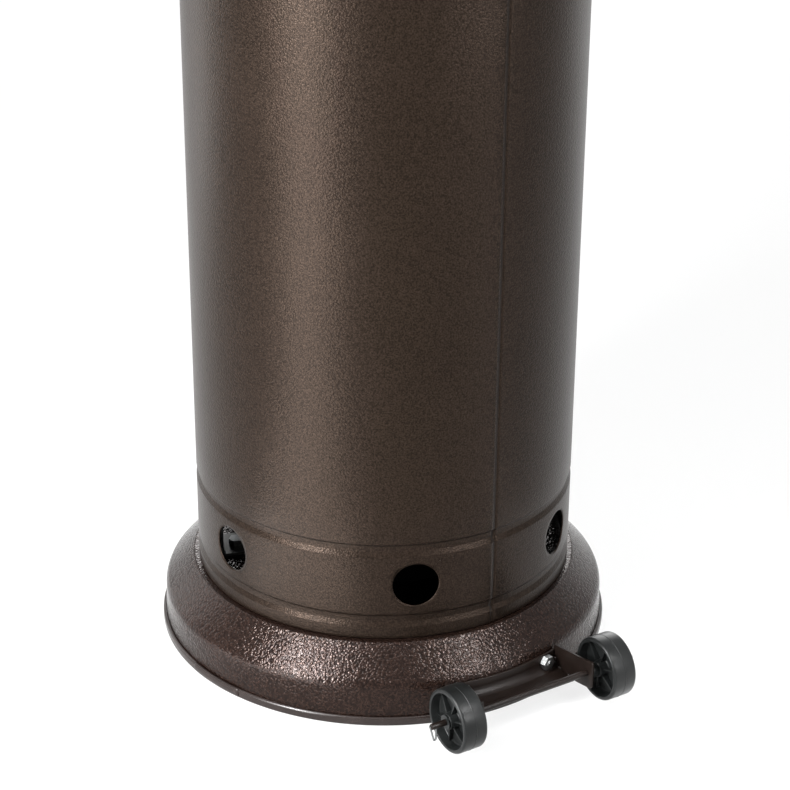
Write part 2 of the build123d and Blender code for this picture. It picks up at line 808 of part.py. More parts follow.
with BuildPart() as regulator:
    disc(upright_plane(gas_angle, regulator_reach, regulator_base), regulator_radius, regulator_height)
    fillet(regulator.edges().filter_by(GeomType.CIRCLE), ring_sheet)
    disc(upright_plane(gas_angle, regulator_reach, regulator_top), regulator_cap_radius, regulator_cap_height)
    barb = upright_plane(gas_angle, regulator_reach, regulator_outlet)
    disc(barb, hose_bore - running_gap, barb_share * (hose_rise - hose_bend))
    nipple = facing_plane(gas_angle, nipple_end, outlet_height)
    disc(nipple, nipple_radius, regulator_inlet - nipple_end + ring_sheet)
regulator.part.label = "regulator"
export_step(regulator.part, "parts/regulator.step")

coupling_start = valve_outlet_reach - coupling_length + coupling_wall + 2 * easy_gap
with BuildPart() as coupling_nut:
    face = facing_plane(gas_angle, coupling_start, outlet_height)
    coupling_radius = valve_outlet_radius + easy_gap + coupling_wall
    disc(face, coupling_radius, coupling_length)
    with BuildSketch(face):
        with PolarLocations(coupling_radius, coupling_ribs):
            Circle(coupling_wall / 3)
    extrude(amount=coupling_length, mode=Mode.SUBTRACT)
    disc(face, valve_outlet_radius + easy_gap, coupling_length - coupling_wall, Mode.SUBTRACT)
    disc(face, nipple_radius + running_gap, coupling_length, Mode.SUBTRACT)
coupling_nut.part.label = "coupling_nut"
export_step(coupling_nut.part, "parts/coupling_nut.step")

with BuildPart() as gas_hose:
    with BuildLine(radial_plane(gas_angle)) as hose_route:
        FilletPolyline(
            (hose_start, hose_height),
            (regulator_reach, hose_height),
            (regulator_reach, hose_end),
            radius=hose_bend,
        )
    with BuildSketch(facing_plane(gas_angle, hose_start, hose_height)):
        Circle(hose_radius)
        Circle(hose_bore, mode=Mode.SUBTRACT)
    sweep()
hose_length = sum(edge.length for edge in hose_route.edges())
print(f"gas hose: {hose_length:.0f} mm long, bend radius {hose_bend:.0f} mm")
gas_hose.part.label = "gas_hose"
export_step(gas_hose.part, "parts/gas_hose.step")

with BuildPart() as hose_clamps:
    upper = facing_plane(gas_angle, hose_start + hose_radius / 2, hose_height)
    lower = upright_plane(gas_angle, regulator_reach, regulator_outlet + hose_radius / 2)
    for face in (upper, lower):
        ring(face, hose_radius + running_gap + clamp_wall, hose_radius + running_gap, clamp_width)
hose_clamps.part.label = "hose_clamps"
export_step(hose_clamps.part, "parts/hose_clamps.step")

with BuildPart() as gas_inlet_fitting:
    hexagon(Plane.XY.offset(leg_top_height), fitting_radius, -fitting_height)
    disc(facing_plane(gas_angle, 0, hose_height), hose_radius, fitting_reach)
    disc(facing_plane(gas_angle, fitting_reach, hose_height), hose_bore - running_gap, hose_run - hose_bend)
gas_inlet_fitting.part.label = "gas_inlet_fitting"
export_step(gas_inlet_fitting.part, "parts/gas_inlet_fitting.step")

with BuildPart() as gas_tube:
    tube_length = valve_block_bottom - leg_top_height
    ring(Plane.XY.offset(leg_top_height), gas_tube_radius, gas_tube_radius - gas_tube_wall, tube_length)
gas_tube.part.label = "gas_tube"
export_step(gas_tube.part, "parts/gas_tube.step")

# Control head
grip_radius = post_radius + running_gap + head_sheet
with BuildPart() as control_housing:
    profile = sheet_profile(
        [
            (grip_radius, head_bottom),
            (grip_radius, post_top),
            (head_radius, head_wall_bottom),
            (head_radius, head_top),
            (head_radius - head_lip, head_top),
        ],
        [fold_round, fold_round, fold_round],
        head_sheet,
        Side.LEFT,
    )
    revolve(profile, axis=Axis.Z)
    with BuildSketch(Plane.XZ):
        with Locations((0, control_height)):
            RectangleRounded(
                2 * (bezel_half_width + easy_gap),
                2 * (bezel_half_height + easy_gap),
                bezel_corner + easy_gap,
            )
    extrude(amount=bezel_front, mode=Mode.SUBTRACT)
    for angle in head_screw_angles:
        face = facing_plane(angle, 0, head_screw_height)
        disc(face, screw_radius + running_gap, 2 * post_radius, Mode.SUBTRACT)
control_housing.part.label = "control_housing"
export_step(control_housing.part, "parts/control_housing.step")

with BuildPart() as head_clamp_screws:
    for angle in head_screw_angles:
        face = facing_plane(angle, grip_radius + seat_gap, head_screw_height)
        screw(face, seat_gap + grip_radius - post_radius + 2 * post_wall)
head_clamp_screws.part.label = "head_clamp_screws"
export_step(head_clamp_screws.part, "parts/head_clamp_screws.step")

with BuildPart() as control_bezel:
    with BuildSketch(Plane.XZ.offset(bezel_front - bezel_depth)):
        with Locations((0, control_height)):
            RectangleRounded(2 * bezel_half_width, 2 * bezel_half_height, bezel_corner)
    extrude(amount=bezel_depth)
    fillet(control_bezel.faces().sort_by(Axis.Y)[0].edges(), bezel_wall / 2)
    with BuildSketch(Plane.XZ.offset(bezel_front - bezel_depth)):
        with Locations((0, control_height)):
            RectangleRounded(
                2 * (bezel_half_width - bezel_wall),
                2 * (bezel_half_height - bezel_wall),
                bezel_corner - bezel_wall,
            )
    extrude(amount=bezel_depth - bezel_wall, mode=Mode.SUBTRACT)
    with BuildSketch(Plane.XZ.offset(bezel_inside)):
        with Locations((knob_x, control_height)):
            Circle(stem_radius + easy_gap)
        with Locations((button_x, control_height)):
            Circle(button_radius + easy_gap)
    extrude(amount=bezel_wall, mode=Mode.SUBTRACT)
control_bezel.part.label = "control_bezel"
export_step(control_bezel.part, "parts/control_bezel.step")

knob_plane = Plane(origin=(knob_x, 0, control_height), x_dir=(1, 0, 0), z_dir=(0, -1, 0))
button_plane = Plane(origin=(button_x, 0, control_height), x_dir=(1, 0, 0), z_dir=(0, -1, 0))
knob_back = bezel_front + knob_bezel_gap

with BuildPart() as gas_valve:
    block_middle = (knob_x + valve_block_width / 2 - orifice_radius * 2, control_height)
    with BuildSketch(Plane.XZ.offset(-valve_block_back)):
        with Locations(block_middle):
            Rectangle(valve_block_width, valve_block_height)
    extrude(amount=valve_block_back + bezel_inside)
    fillet(gas_valve.edges().filter_by(Axis.Y), ring_sheet)
    stem_pocket = stem_inside + stem_travel + easy_gap
    disc(knob_plane.offset(bezel_inside), stem_radius + running_gap, -stem_pocket, Mode.SUBTRACT)
gas_valve.part.label = "gas_valve"
export_step(gas_valve.part, "parts/gas_valve.step")

with BuildPart() as valve_thrust_washer:
    washer_face = knob_plane.offset(knob_back - seat_gap - washer_thickness)
    ring(washer_face, 2 * stem_radius, stem_radius + running_gap, washer_thickness)
valve_thrust_washer.part.label = "valve_thrust_washer"
export_step(valve_thrust_washer.part, "parts/valve_thrust_washer.step")

with BuildPart() as valve_stem:
    stem_start = bezel_inside - stem_inside
    disc(knob_plane.offset(stem_start), stem_radius, knob_back + stem_grip - stem_start)
valve_stem.part.label = "valve_stem"
export_step(valve_stem.part, "parts/valve_stem.step")

with BuildPart() as control_knob:
    disc(knob_plane.offset(knob_back), knob_radius, knob_depth)
    fillet(control_knob.faces().sort_by(Axis.Y)[0].edges(), knob_depth / 5)
    with BuildSketch(knob_plane.offset(knob_back + knob_depth / 2)):
        Rectangle(knob_grip_width, 2 * (knob_radius - ring_sheet))
    extrude(amount=knob_depth / 2 + knob_grip_depth)
    fillet(control_knob.faces().sort_by(Axis.Y)[0].edges(), ring_sheet / 2)
    disc(knob_plane.offset(knob_back), stem_radius + running_gap, stem_grip, Mode.SUBTRACT)
control_knob.part.label = "control_knob"
export_step(control_knob.part, "parts/control_knob.step")

with BuildPart() as tilt_switch:
    switch_x = block_middle[0] + valve_block_width / 2 + tilt_switch_size / 2
    with BuildSketch(Plane(origin=(switch_x, 0, control_height - tilt_switch_height / 2))):
        RectangleRounded(tilt_switch_size, tilt_switch_size, fold_round / 2)
    extrude(amount=tilt_switch_height)
tilt_switch.part.label = "tilt_switch"
export_step(tilt_switch.part, "parts/tilt_switch.step")

with BuildPart() as igniter_body:
    igniter_face = button_plane.offset(bezel_inside)
    disc(igniter_face, igniter_radius, -igniter_length)
    socket = button_head - button_proud - bezel_wall + button_travel + easy_gap
    disc(igniter_face, button_radius + easy_gap, -socket, Mode.SUBTRACT)
    disc(igniter_face, plunger_radius + running_gap, -socket - plunger_length, Mode.SUBTRACT)
igniter_body.part.label = "igniter_body"
export_step(igniter_body.part, "parts/igniter_body.step")

with BuildPart() as igniter_button:
    button_face = button_plane.offset(bezel_front + button_proud)
    disc(button_face, button_radius, -button_head)
    fillet(igniter_button.faces().sort_by(Axis.Y)[0].edges(), button_radius / 5)
    disc(button_face.offset(-button_head), plunger_radius, -plunger_length)
igniter_button.part.label = "igniter_button"
export_step(igniter_button.part, "parts/igniter_button.step")

# Burner
with BuildPart() as burner_orifice:
    hexagon(Plane.XY.offset(valve_block_top), orifice_radius, orifice_height)
    disc(Plane.XY.offset(valve_block_top), gas_tube_wall, orifice_height, Mode.SUBTRACT)
burner_orifice.part.label = "burner_orifice"
export_step(burner_orifice.part, "parts/burner_orifice.step")

venturi_top = deck_top + venturi_above
with BuildPart() as burner_venturi:
    venturi_length = venturi_below + deck_sheet + venturi_above
    venturi_bore = venturi_radius - venturi_wall
    ring(Plane.XY.offset(head_top - venturi_below), venturi_radius, venturi_bore, venturi_length)
    ring(Plane.XY.offset(deck_top), venturi_flange, venturi_bore, deck_sheet)
    for angle in (0, 90):
        face = facing_plane(angle, 0, head_top - venturi_below / 2)
        with BuildSketch(face):
            Circle(venturi_below / 4)
        extrude(amount=2 * venturi_radius, both=True, mode=Mode.SUBTRACT)
burner_venturi.part.label = "burner_venturi"
export_step(burner_venturi.part, "parts/burner_venturi.step")

cup_base = venturi_top - cup_rise / 2
cup_sleeve = venturi_radius + running_gap + cup_sheet
cup_top = venturi_top + cup_rise + cup_rim
with BuildPart() as burner_cup:
    profile = sheet_profile(
        [
            (cup_sleeve, cup_base),
            (cup_sleeve, venturi_top),
            (cup_radius, venturi_top + cup_rise),
            (cup_radius, cup_top),
        ],
        [fold_round, fold_round],
        cup_sheet,
        Side.LEFT,
    )
    revolve(profile, axis=Axis.Z)
    disc(Plane.XY.offset(cup_top), cup_radius, cup_sheet)
    with BuildSketch(Plane.XY.offset(cup_top)):
        for share in cup_hole_shares:
            with PolarLocations(cup_radius * share, cup_holes):
                Circle(cup_hole_radius)
    extrude(amount=cup_sheet, mode=Mode.SUBTRACT)
burner_cup.part.label = "burner_cup"
export_step(burner_cup.part, "parts/burner_cup.step")

with BuildPart() as pilot_burner:
    pilot_plane = Plane(origin=(0, -pilot_offset, deck_top))
    disc(pilot_plane, pilot_foot_radius, ring_sheet)
    disc(pilot_plane, pilot_radius, pilot_height)
    slot_plane = Plane(origin=(0, -pilot_offset, deck_top + pilot_height))
    disc(slot_plane, pilot_radius / 2, -pilot_height / 3, Mode.SUBTRACT)
pilot_burner.part.label = "pilot_burner"
export_step(pilot_burner.part, "parts/pilot_burner.step")

with BuildPart() as thermocouple:
    probe_plane = Plane(origin=(probe_spacing, -pilot_offset, deck_top))
    disc(probe_plane, 2 * probe_radius, 2 * ring_sheet)
    disc(probe_plane, probe_radius, probe_height)
    fillet(thermocouple.faces().sort_by(Axis.Z)[-1].edges(), probe_radius / 2)
thermocouple.part.label = "thermocouple"
export_step(thermocouple.part, "parts/thermocouple.step")

with BuildPart() as spark_electrode:
    electrode_plane = Plane(origin=(-probe_spacing, -pilot_offset, deck_top))
    disc(electrode_plane, electrode_radius, electrode_height)
    disc(electrode_plane, electrode_wire, electrode_height + electrode_tip)
spark_electrode.part.label = "spark_electrode"
export_step(spark_electrode.part, "parts/spark_electrode.step")

# Emitter
with BuildPart() as emitter_deck:
    disc(Plane.XY.offset(head_top), head_radius + deck_overhang, deck_sheet)
    disc(Plane.XY.offset(head_top), venturi_radius + easy_gap, deck_sheet, Mode.SUBTRACT)
    fillet(emitter_deck.edges().group_by(Axis.Z)[-1].sort_by(SortBy.RADIUS)[-1:], deck_sheet / 2)
emitter_deck.part.label = "emitter_deck"
export_step(emitter_deck.part, "parts/emitter_deck.step")

screw_height = screen_top - emitter_cap_rim / 2
screw_angles = [emitter_screw_start_angle + 360 / emitter_screw_count * i for i in range(emitter_screw_count)]
with BuildPart() as emitter_screen:
    ring(Plane.XY.offset(deck_top), screen_radius, screen_radius - screen_wall, screen_height)
    for angle in screw_angles:
        face = facing_plane(angle, screen_radius / 2, screw_height)
        disc(face, screw_radius + running_gap, screen_radius, Mode.SUBTRACT)
emitter_screen.part.label = "emitter_screen"
export_step(emitter_screen.part, "parts/emitter_screen.step")

rim_inside = screen_radius + easy_gap
rim_radius = rim_inside + emitter_cap_sheet
stud_angles = [stud_start_angle + 360 / stud_count * i for i in range(stud_count)]
with BuildPart() as emitter_cap:
    disc(Plane.XY.offset(screen_top), rim_radius, emitter_cap_sheet)
    ring(Plane.XY.offset(screen_top), rim_radius, rim_inside, -emitter_cap_rim)
    for angle in stud_angles:
        face = upright_plane(angle, stud_circle, screen_top)
        disc(face, stud_radius + bolt_gap, emitter_cap_sheet, Mode.SUBTRACT)
    for angle in screw_angles:
        face = facing_plane(angle, screen_radius / 2, screw_height)
        disc(face, screw_radius + running_gap, screen_radius, Mode.SUBTRACT)
emitter_cap.part.label = "emitter_cap"
export_step(emitter_cap.part, "parts/emitter_cap.step")

with BuildPart() as emitter_screws:
    for angle in screw_angles:
        face = facing_plane(angle, rim_radius + seat_gap, screw_height)
        screw(face, seat_gap + rim_radius - screen_radius + 2 * screen_wall)
emitter_screws.part.label = "emitter_screws"
export_step(emitter_screws.part, "parts/emitter_screws.step")

# Reflector: a shallow spun dome on three studs
reflector_under = emitter_top + spacer_height
with BuildPart() as reflector_studs:
    for angle in stud_angles:
        face = upright_plane(angle, stud_circle, screen_top)
        hexagon(face, cap_nut_radius, -stud_head_height)
        disc(face, stud_radius, reflector_top - screen_top + cap_nut_height / 2)
reflector_studs.part.label = "reflector_studs"
export_step(reflector_studs.part, "parts/reflector_studs.step")

with BuildPart() as reflector_spacers:
    for angle in stud_angles:
        face = upright_plane(angle, stud_circle, emitter_top)
        ring(face, spacer_radius, stud_radius + running_gap, spacer_height)
reflector_spacers.part.label = "reflector_spacers"
export_step(reflector_spacers.part, "parts/reflector_spacers.step")

with BuildPart() as reflector_dome:
    edge_radius = reflector_radius - reflector_bead
    edge_height = reflector_top - reflector_drop
    with BuildSketch(Plane.XZ):
        with BuildLine():
            Line((0, reflector_top), (reflector_flat, reflector_top))
            TangentArc((reflector_flat, reflector_top), (edge_radius, edge_height), tangent=(1, 0))
            offset(amount=reflector_sheet, side=Side.RIGHT)
        make_face()
        with Locations((edge_radius, edge_height)):
            Circle(reflector_bead)
    revolve(axis=Axis.Z)
    for angle in stud_angles:
        face = upright_plane(angle, stud_circle, reflector_under)
        disc(face, stud_radius + bolt_gap, reflector_sheet, Mode.SUBTRACT)
reflector_dome.part.label = "reflector_dome"
export_step(reflector_dome.part, "parts/reflector_dome.step")

with BuildPart() as reflector_cap_nuts:
    for angle in stud_angles:
        face = upright_plane(angle, stud_circle, reflector_top)
        hexagon(face, cap_nut_radius, cap_nut_height * cap_nut_hex_share)
        disc(face, cap_nut_radius * cap_nut_dome_share, cap_nut_height)
        disc(face, stud_radius + running_gap, cap_nut_height / 2 + easy_gap, Mode.SUBTRACT)
reflector_cap_nuts.part.label = "reflector_cap_nuts"
export_step(reflector_cap_nuts.part, "parts/reflector_cap_nuts.step")

print(f"overall height {reflector_top + cap_nut_height:.1f} mm, base diameter {2 * trim_radius:.1f} mm")
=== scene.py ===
# %% Load the construction model
import json
from math import asin, atan2, cos, pi, radians, sin, tan, tau

import bmesh
import bpy
from bmesh.types import BMFace, BMVert
from mathutils import Matrix, Vector


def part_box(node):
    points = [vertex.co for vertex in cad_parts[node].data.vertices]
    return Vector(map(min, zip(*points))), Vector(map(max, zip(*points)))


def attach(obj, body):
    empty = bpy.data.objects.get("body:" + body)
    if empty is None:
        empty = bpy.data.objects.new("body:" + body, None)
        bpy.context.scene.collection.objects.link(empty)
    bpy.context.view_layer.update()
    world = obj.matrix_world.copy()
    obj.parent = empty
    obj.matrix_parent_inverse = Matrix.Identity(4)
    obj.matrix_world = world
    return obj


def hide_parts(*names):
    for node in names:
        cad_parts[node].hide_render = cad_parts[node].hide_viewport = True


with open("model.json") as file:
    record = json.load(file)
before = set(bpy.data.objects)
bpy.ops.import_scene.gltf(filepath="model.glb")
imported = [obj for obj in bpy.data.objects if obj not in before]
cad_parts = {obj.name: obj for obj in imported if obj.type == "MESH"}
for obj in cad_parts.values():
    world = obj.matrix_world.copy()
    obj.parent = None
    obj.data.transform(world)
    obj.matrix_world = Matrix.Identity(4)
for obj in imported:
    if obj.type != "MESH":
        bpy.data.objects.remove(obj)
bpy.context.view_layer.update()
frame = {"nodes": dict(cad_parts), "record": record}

scene = bpy.context.scene
nodes = frame["nodes"]

# %% [markdown]
# A gas patio heater stands in a photo studio. The construction model already holds every piece at its
# real size, in metres, with the floor at zero and the post along Z. This script dresses it: round sheet
# pieces are turned again as smooth meshes, small pieces get their bevels, and every surface gets a finish.
# The photograph shows the heater's lower part from behind, so the camera comes first. It was worked out
# from the outlines of the base and the housing: how far it stands, how high, and how far it looks down.

# %% Camera at the photograph's viewing angle
mm = 0.001
view_azimuth = radians(148.2)
camera_distance = 1.984
camera_height = 1.194
camera_pitch = 0.45
camera_roll = 0.0043
camera_yaw = 0.0049
photo_lens = 102.7


def outward(angle):
    """Level direction from the heater's axis, by the photographer's azimuth: 0 is the knob's side."""
    return Vector((sin(angle), -cos(angle), 0))


def tilted(first, second, angle):
    """Two directions at right angles, turned in their own plane."""
    return first * cos(angle) + second * sin(angle), second * cos(angle) - first * sin(angle)


def camera_matrix():
    """Place and turn of the camera, built from its own right, up and forward directions."""
    level = -outward(view_azimuth)
    right = Vector((cos(view_azimuth), sin(view_azimuth), 0))
    forward = level * cos(camera_pitch) + Vector((0, 0, -sin(camera_pitch)))
    forward, right = tilted(forward, right, camera_yaw)
    up = right.cross(forward)
    right, up = tilted(right, up, camera_roll)
    place = outward(view_azimuth) * camera_distance + Vector((0, 0, camera_height))
    turn = Matrix((right, up, -forward)).transposed().to_4x4()
    return Matrix.Translation(place) @ turn


camera_data = bpy.data.cameras.new("photo_camera")
camera_data.sensor_width = 36
camera_data.lens = photo_lens
camera = bpy.data.objects.new("photo_camera", camera_data)
camera.matrix_world = camera_matrix()
scene.collection.objects.link(camera)
scene.camera = camera
scene.view_settings.view_transform = "Standard"
print("camera at", [round(c, 3) for c in camera.location], "lens", camera_data.lens)

# %% [markdown]
# A finish is a small network of shader nodes. It could be wired by hand in the editor, or written node by
# node, but both hide what it does. So a helper comes first: Wire holds one output of a node and understands
# plus, minus and times, and a mask then reads like the sum that it is.

# %% Sums of shader values


class Wire:
    """One output of a shader node, which can be used in sums."""

    def __init__(self, graph, socket):
        self.graph = graph
        self.socket = socket

    def sum_with(self, operation, first, second):
        return self.graph.add("ShaderNodeMath", {"operation": operation}, {0: first, 1: second})

    def __add__(self, other):
        return self.sum_with("ADD", self, other)

    def __radd__(self, other):
        return self.sum_with("ADD", other, self)

    def __sub__(self, other):
        return self.sum_with("SUBTRACT", self, other)

    def __rsub__(self, other):
        return self.sum_with("SUBTRACT", other, self)

    def __mul__(self, other):
        return self.sum_with("MULTIPLY", self, other)

    def __rmul__(self, other):
        return self.sum_with("MULTIPLY", other, self)

    def most(self, other):
        return self.sum_with("MAXIMUM", self, other)


print("sums of shader values ready")

# %% [markdown]
# Any other node comes from one method. Graph adds a node by its type: first its settings, and then what goes
# into its sockets, which is either a number or a wire. Finish is a graph that belongs to a material and ends
# in one surface. Its patterns are placed by the object's own coordinates, so they move with the piece.

# %% Node trees and finishes


class Graph:
    """A node tree, with one method that adds a node to it."""

    def __init__(self, tree):
        self.tree = tree
        tree.nodes.clear()

    def add(self, kind, settings=None, sockets=None, output=0):
        node = self.tree.nodes.new(kind)
        for key, value in (settings or {}).items():
            setattr(node, key, value)
        for key, value in (sockets or {}).items():
            if isinstance(value, Wire):
                self.tree.links.new(value.socket, node.inputs[key])
            else:
                node.inputs[key].default_value = value
        return Wire(self, node.outputs[output]) if node.outputs else node

    def ramp(self, value, low, high):
        """Numbers from low to high become 0 to 1, and what lies outside is cut off."""
        sockets = {"Value": value, "From Min": low, "From Max": high}
        return self.add("ShaderNodeMapRange", {"clamp": True}, sockets)

    def mix(self, share, first, second):
        """Colour between two colours. The node's colour sockets are its seventh and eighth."""
        sockets = {"Factor": share, 6: (*first, 1), 7: (*second, 1)}
        return self.add("ShaderNodeMix", {"data_type": "RGBA"}, sockets, output=2)


class Finish(Graph):
    """A material with one surface shader, fed by wires or by plain numbers."""

    def __init__(self, name):
        self.material = bpy.data.materials.new(name)
        self.material.use_nodes = True
        super().__init__(self.material.node_tree)
        place = self.tree.nodes.new("ShaderNodeTexCoord")
        self.place = Wire(self, place.outputs["Object"])

    def noise(self, size, detail=2.0, roughness=0.5, place=None):
        """Cloudy pattern whose lumps are about one size across, in metres."""
        sockets = {"Vector": place or self.place, "Scale": 1 / size, "Detail": detail, "Roughness": roughness}
        return self.add("ShaderNodeTexNoise", {}, sockets)

    def bump(self, height, depth):
        """Surface normal over hills of a depth in metres."""
        return self.add("ShaderNodeBump", {}, {"Height": height, "Distance": depth, "Strength": 1.0})

    def surface(self, **sockets):
        """The surface shader. Words in a socket's name are joined by underscores here."""
        named = {key.replace("_", " "): value for key, value in sockets.items()}
        shader = self.add("ShaderNodeBsdfPrincipled", {}, named)
        self.add("ShaderNodeOutputMaterial", {}, {"Surface": shader})
        return self


print("node trees and finishes ready")

# %% [markdown]
# The studio is a white sweep with soft boxes. The picture's background is pure white, yet the object must
# not be lit more for that. So the world and the floor show white to the camera and to shiny surfaces, and
# the world's own light on the heater is weak. The floor keeps a share of its own shading, so the shadow stays.

# %% World and floor
room_light = 0.3
floor_share_white = 0.8
floor_grey = 0.93
floor_half = 5.0
floor_drop = 0.4 * mm


def seen_directly(graph):
    """One for rays that the eye follows: straight, in a mirror or through glass."""
    path = graph.add("ShaderNodeLightPath")
    outputs = path.socket.node.outputs
    names = ("Is Camera Ray", "Is Glossy Ray", "Is Transmission Ray")
    first, second, third = [Wire(graph, outputs[name]) for name in names]
    return first.most(second).most(third)


world = bpy.data.worlds.new("studio")
world.use_nodes = True
room = Graph(world.node_tree)
strength = room_light + seen_directly(room) * (1 - room_light)
backdrop = room.add("ShaderNodeBackground", {}, {"Color": (1, 1, 1, 1), "Strength": strength})
room.add("ShaderNodeOutputWorld", {}, {"Surface": backdrop})
scene.world = world

floor_finish = Finish("studio_floor")
matt = floor_finish.add("ShaderNodeBsdfDiffuse", {}, {"Color": (floor_grey, floor_grey, floor_grey, 1)})
white = floor_finish.add("ShaderNodeEmission", {}, {"Color": (1, 1, 1, 1), "Strength": 1.0})
share = seen_directly(floor_finish) * floor_share_white
both = floor_finish.add("ShaderNodeMixShader", {}, {0: share, 1: matt, 2: white})
floor_finish.add("ShaderNodeOutputMaterial", {}, {"Surface": both})

floor_shape = bmesh.new()
bmesh.ops.create_grid(floor_shape, x_segments=1, y_segments=1, size=floor_half)
bmesh.ops.translate(floor_shape, verts=floor_shape.verts, vec=(0, 0, -floor_drop))
floor_mesh = bpy.data.meshes.new("studio_floor")
floor_shape.to_mesh(floor_mesh)
floor_shape.free()
floor_mesh.materials.append(floor_finish.material)
floor = bpy.data.objects.new("studio_floor", floor_mesh)
scene.collection.objects.link(floor)
print("white studio, floor", 2 * floor_half, "m across")

# %% [markdown]
# The camera looks down on upright sheet, so the sheet mirrors the floor and what stands low, while the base's
# slope mirrors what hangs high. Each side therefore has a row of soft lamps: a panel that lies on the floor,
# a tall strip behind it, and two boxes that lean in from above. Together they give the housing one long soft
# highlight, and the slope its glints. A last box stands far out, where the wall doesn't mirror it but the
# lower flanks of the grooves do, and draws their bright lines. Weak lamps light the front, the rims and the
# top, for other views. The camera itself sees none of them, and a lamp's glow is its brightness, not its power.
# The lamps are stronger than a plain level. With a grey card in place of the paint, a matt colour came out two
# to seven times brighter than written on the camera's side, and about as written on the far side. The finishes
# below are written darker than the real ones to make up for it, and look too dark under plainer light.

# %% Soft lamps on both sides
nearly_upright = 0.99


def soft_lamp(name, azimuth, middle, aim, size, glow):
    """Lamp at a distance and height, turned to another distance and height on the same azimuth."""
    lamp = bpy.data.lights.new(name, "AREA")
    lamp.shape = "RECTANGLE"
    lamp.size, lamp.size_y = size
    lamp.energy = pi * glow * size[0] * size[1]
    holder = bpy.data.objects.new(name, lamp)
    away = outward(view_azimuth + radians(azimuth))
    place = away * middle[0] + Vector((0, 0, middle[1]))
    target = away * aim[0] + Vector((0, 0, aim[1]))
    turn = (target - place).to_track_quat("-Z", "Y")
    if abs((target - place).normalized().z) > nearly_upright:
        turn = away.to_track_quat("Y", "Z") @ Matrix.Rotation(pi, 3, "Y").to_quaternion()
    holder.matrix_world = Matrix.Translation(place) @ turn.to_matrix().to_4x4()
    holder.visible_camera = False
    scene.collection.objects.link(holder)


panel_share = 0.54
sides = (
    {"name": "left", "azimuth": -40, "width": 0.36, "glow": 12.0, "box": (-48, 92.0), "high": (-58, 8.0)},
    {"name": "right", "azimuth": 54, "width": 0.26, "glow": 1.4, "box": (50, 62.0), "high": (56, 8.0)},
)
for side in sides:
    name, azimuth, width, glow = (side[key] for key in ("name", "azimuth", "width", "glow"))
    panel_size, strip_size = (width, 0.56), (width, 1.9)
    box_size, high_size = (0.5 * width, 0.2), (0.3 * width, 0.6)
    soft_lamp("floor_panel_" + name, azimuth, (0.58, 0.004), (0.58, 1.0), panel_size, panel_share * glow)
    soft_lamp("tall_strip_" + name, azimuth, (0.87, 0.97), (0, 0.97), strip_size, glow)
    soft_lamp("bright_box_" + name, side["box"][0], (0.84, 0.82), (0, 0.3), box_size, side["box"][1])
    soft_lamp("high_box_" + name, side["high"][0], (0.78, 1.45), (0.2, 0.06), high_size, side["high"][1])
for name, azimuth, middle, aim, size, glow in (
    ("far_box_left", -42, (1.7, 0.78), (0, 0.15), (0.3, 0.16), 210.0),
    ("far_box_right", 46, (1.7, 0.78), (0, 0.15), (0.2, 0.16), 100.0),
    ("rim_left", -115, (1.3, 0.97), (0, 0.97), (0.5, 1.9), 2.0),
    ("rim_right", 130, (1.6, 0.97), (0, 0.97), (0.5, 1.9), 0.4),
    ("front_soft", 180, (3.4, 1.3), (0, 0.9), (2.2, 2.2), 5.0),
    ("top_soft", 0, (0.6, 3.6), (0, 1.2), (1.6, 1.6), 2.5),
):
    soft_lamp(name, azimuth, middle, aim, size, glow)

# %% [markdown]
# Most of the heater is hammered bronze paint: a dark brown powder coat whose skin wrinkles into pebbles
# about two millimetres across as it bakes. The pebbles are what the eye sees, because each one catches the
# lamps in its own glint. So the bump matters more than the colour. Plain noise would look like sand. Smooth
# cells are rounder, and noise pushes them about and roughens them, so that they don't look regular. The colour
# is mostly a random grain, but a share of it follows the pebbles' height as painted shade: the pits between
# them are painted darker than the tops. On the base the coat is thicker, and its pebbles are larger.

# %% Hammered bronze paint


def hammered_paint(name, pebble, depth, dark, light, rough, metallic, ior):
    """Powder coat with a pebbled skin: size and depth of the pebbles in metres, and its two browns, the darker
    one also painted shade in the pits.
    """
    paint = Finish(name)
    loose = {"Vector": paint.place, "Scale": 0.6 / pebble, "Detail": 1.0}
    wander = paint.add("ShaderNodeTexNoise", {}, loose, output=1)
    drift = paint.add("ShaderNodeVectorMath", {"operation": "SCALE"}, {0: wander, "Scale": pebble * 0.9})
    place = paint.add("ShaderNodeVectorMath", {"operation": "ADD"}, {0: paint.place, 1: drift})
    round_cells = {"Vector": place, "Scale": 1 / pebble, "Smoothness": 0.35}
    cells = paint.add("ShaderNodeTexVoronoi", {"feature": "SMOOTH_F1"}, round_cells)
    fine = paint.noise(pebble * 0.8, 1.5, 0.5)
    height = paint.ramp((1 - cells) * 0.75 + fine * 0.35, 0.35, 0.85)
    cloud = paint.noise(70 * mm, 2.0, 0.5)
    # Painted shade: the pits are painted darker than the pebbles' tops, mixed with a random grain.
    grain_and_pit_shade = paint.ramp(height * 0.25 + fine * 0.7 + cloud * 0.08, 0.335, 0.735)
    return paint.surface(
        Base_Color=paint.mix(grain_and_pit_shade, dark, light),
        Roughness=rough + cloud * 0.04,
        Normal=paint.bump(height, depth),
        IOR=ior,
        Metallic=metallic,
    )


wall_browns = (0.0086, 0.0056, 0.0039), (0.0252, 0.0168, 0.0122)
base_browns = (0.0070, 0.0038, 0.0030), (0.0240, 0.0130, 0.0096)
bronze = hammered_paint("hammered_bronze", 1.7 * mm, 0.14 * mm, *wall_browns, 0.30, 0.6, 1.20)
base_bronze = hammered_paint("hammered_bronze_base", 2.4 * mm, 0.30 * mm, *base_browns, 0.12, 0.5, 1.32)
print("paints:", bronze.material.name, base_bronze.material.name)

# %% [markdown]
# The small finishes follow the same plan: a colour with some life in it, a roughness that is not one number,
# and a fine bump. One function makes them, because only their sizes and colours differ.

# %% Small finishes


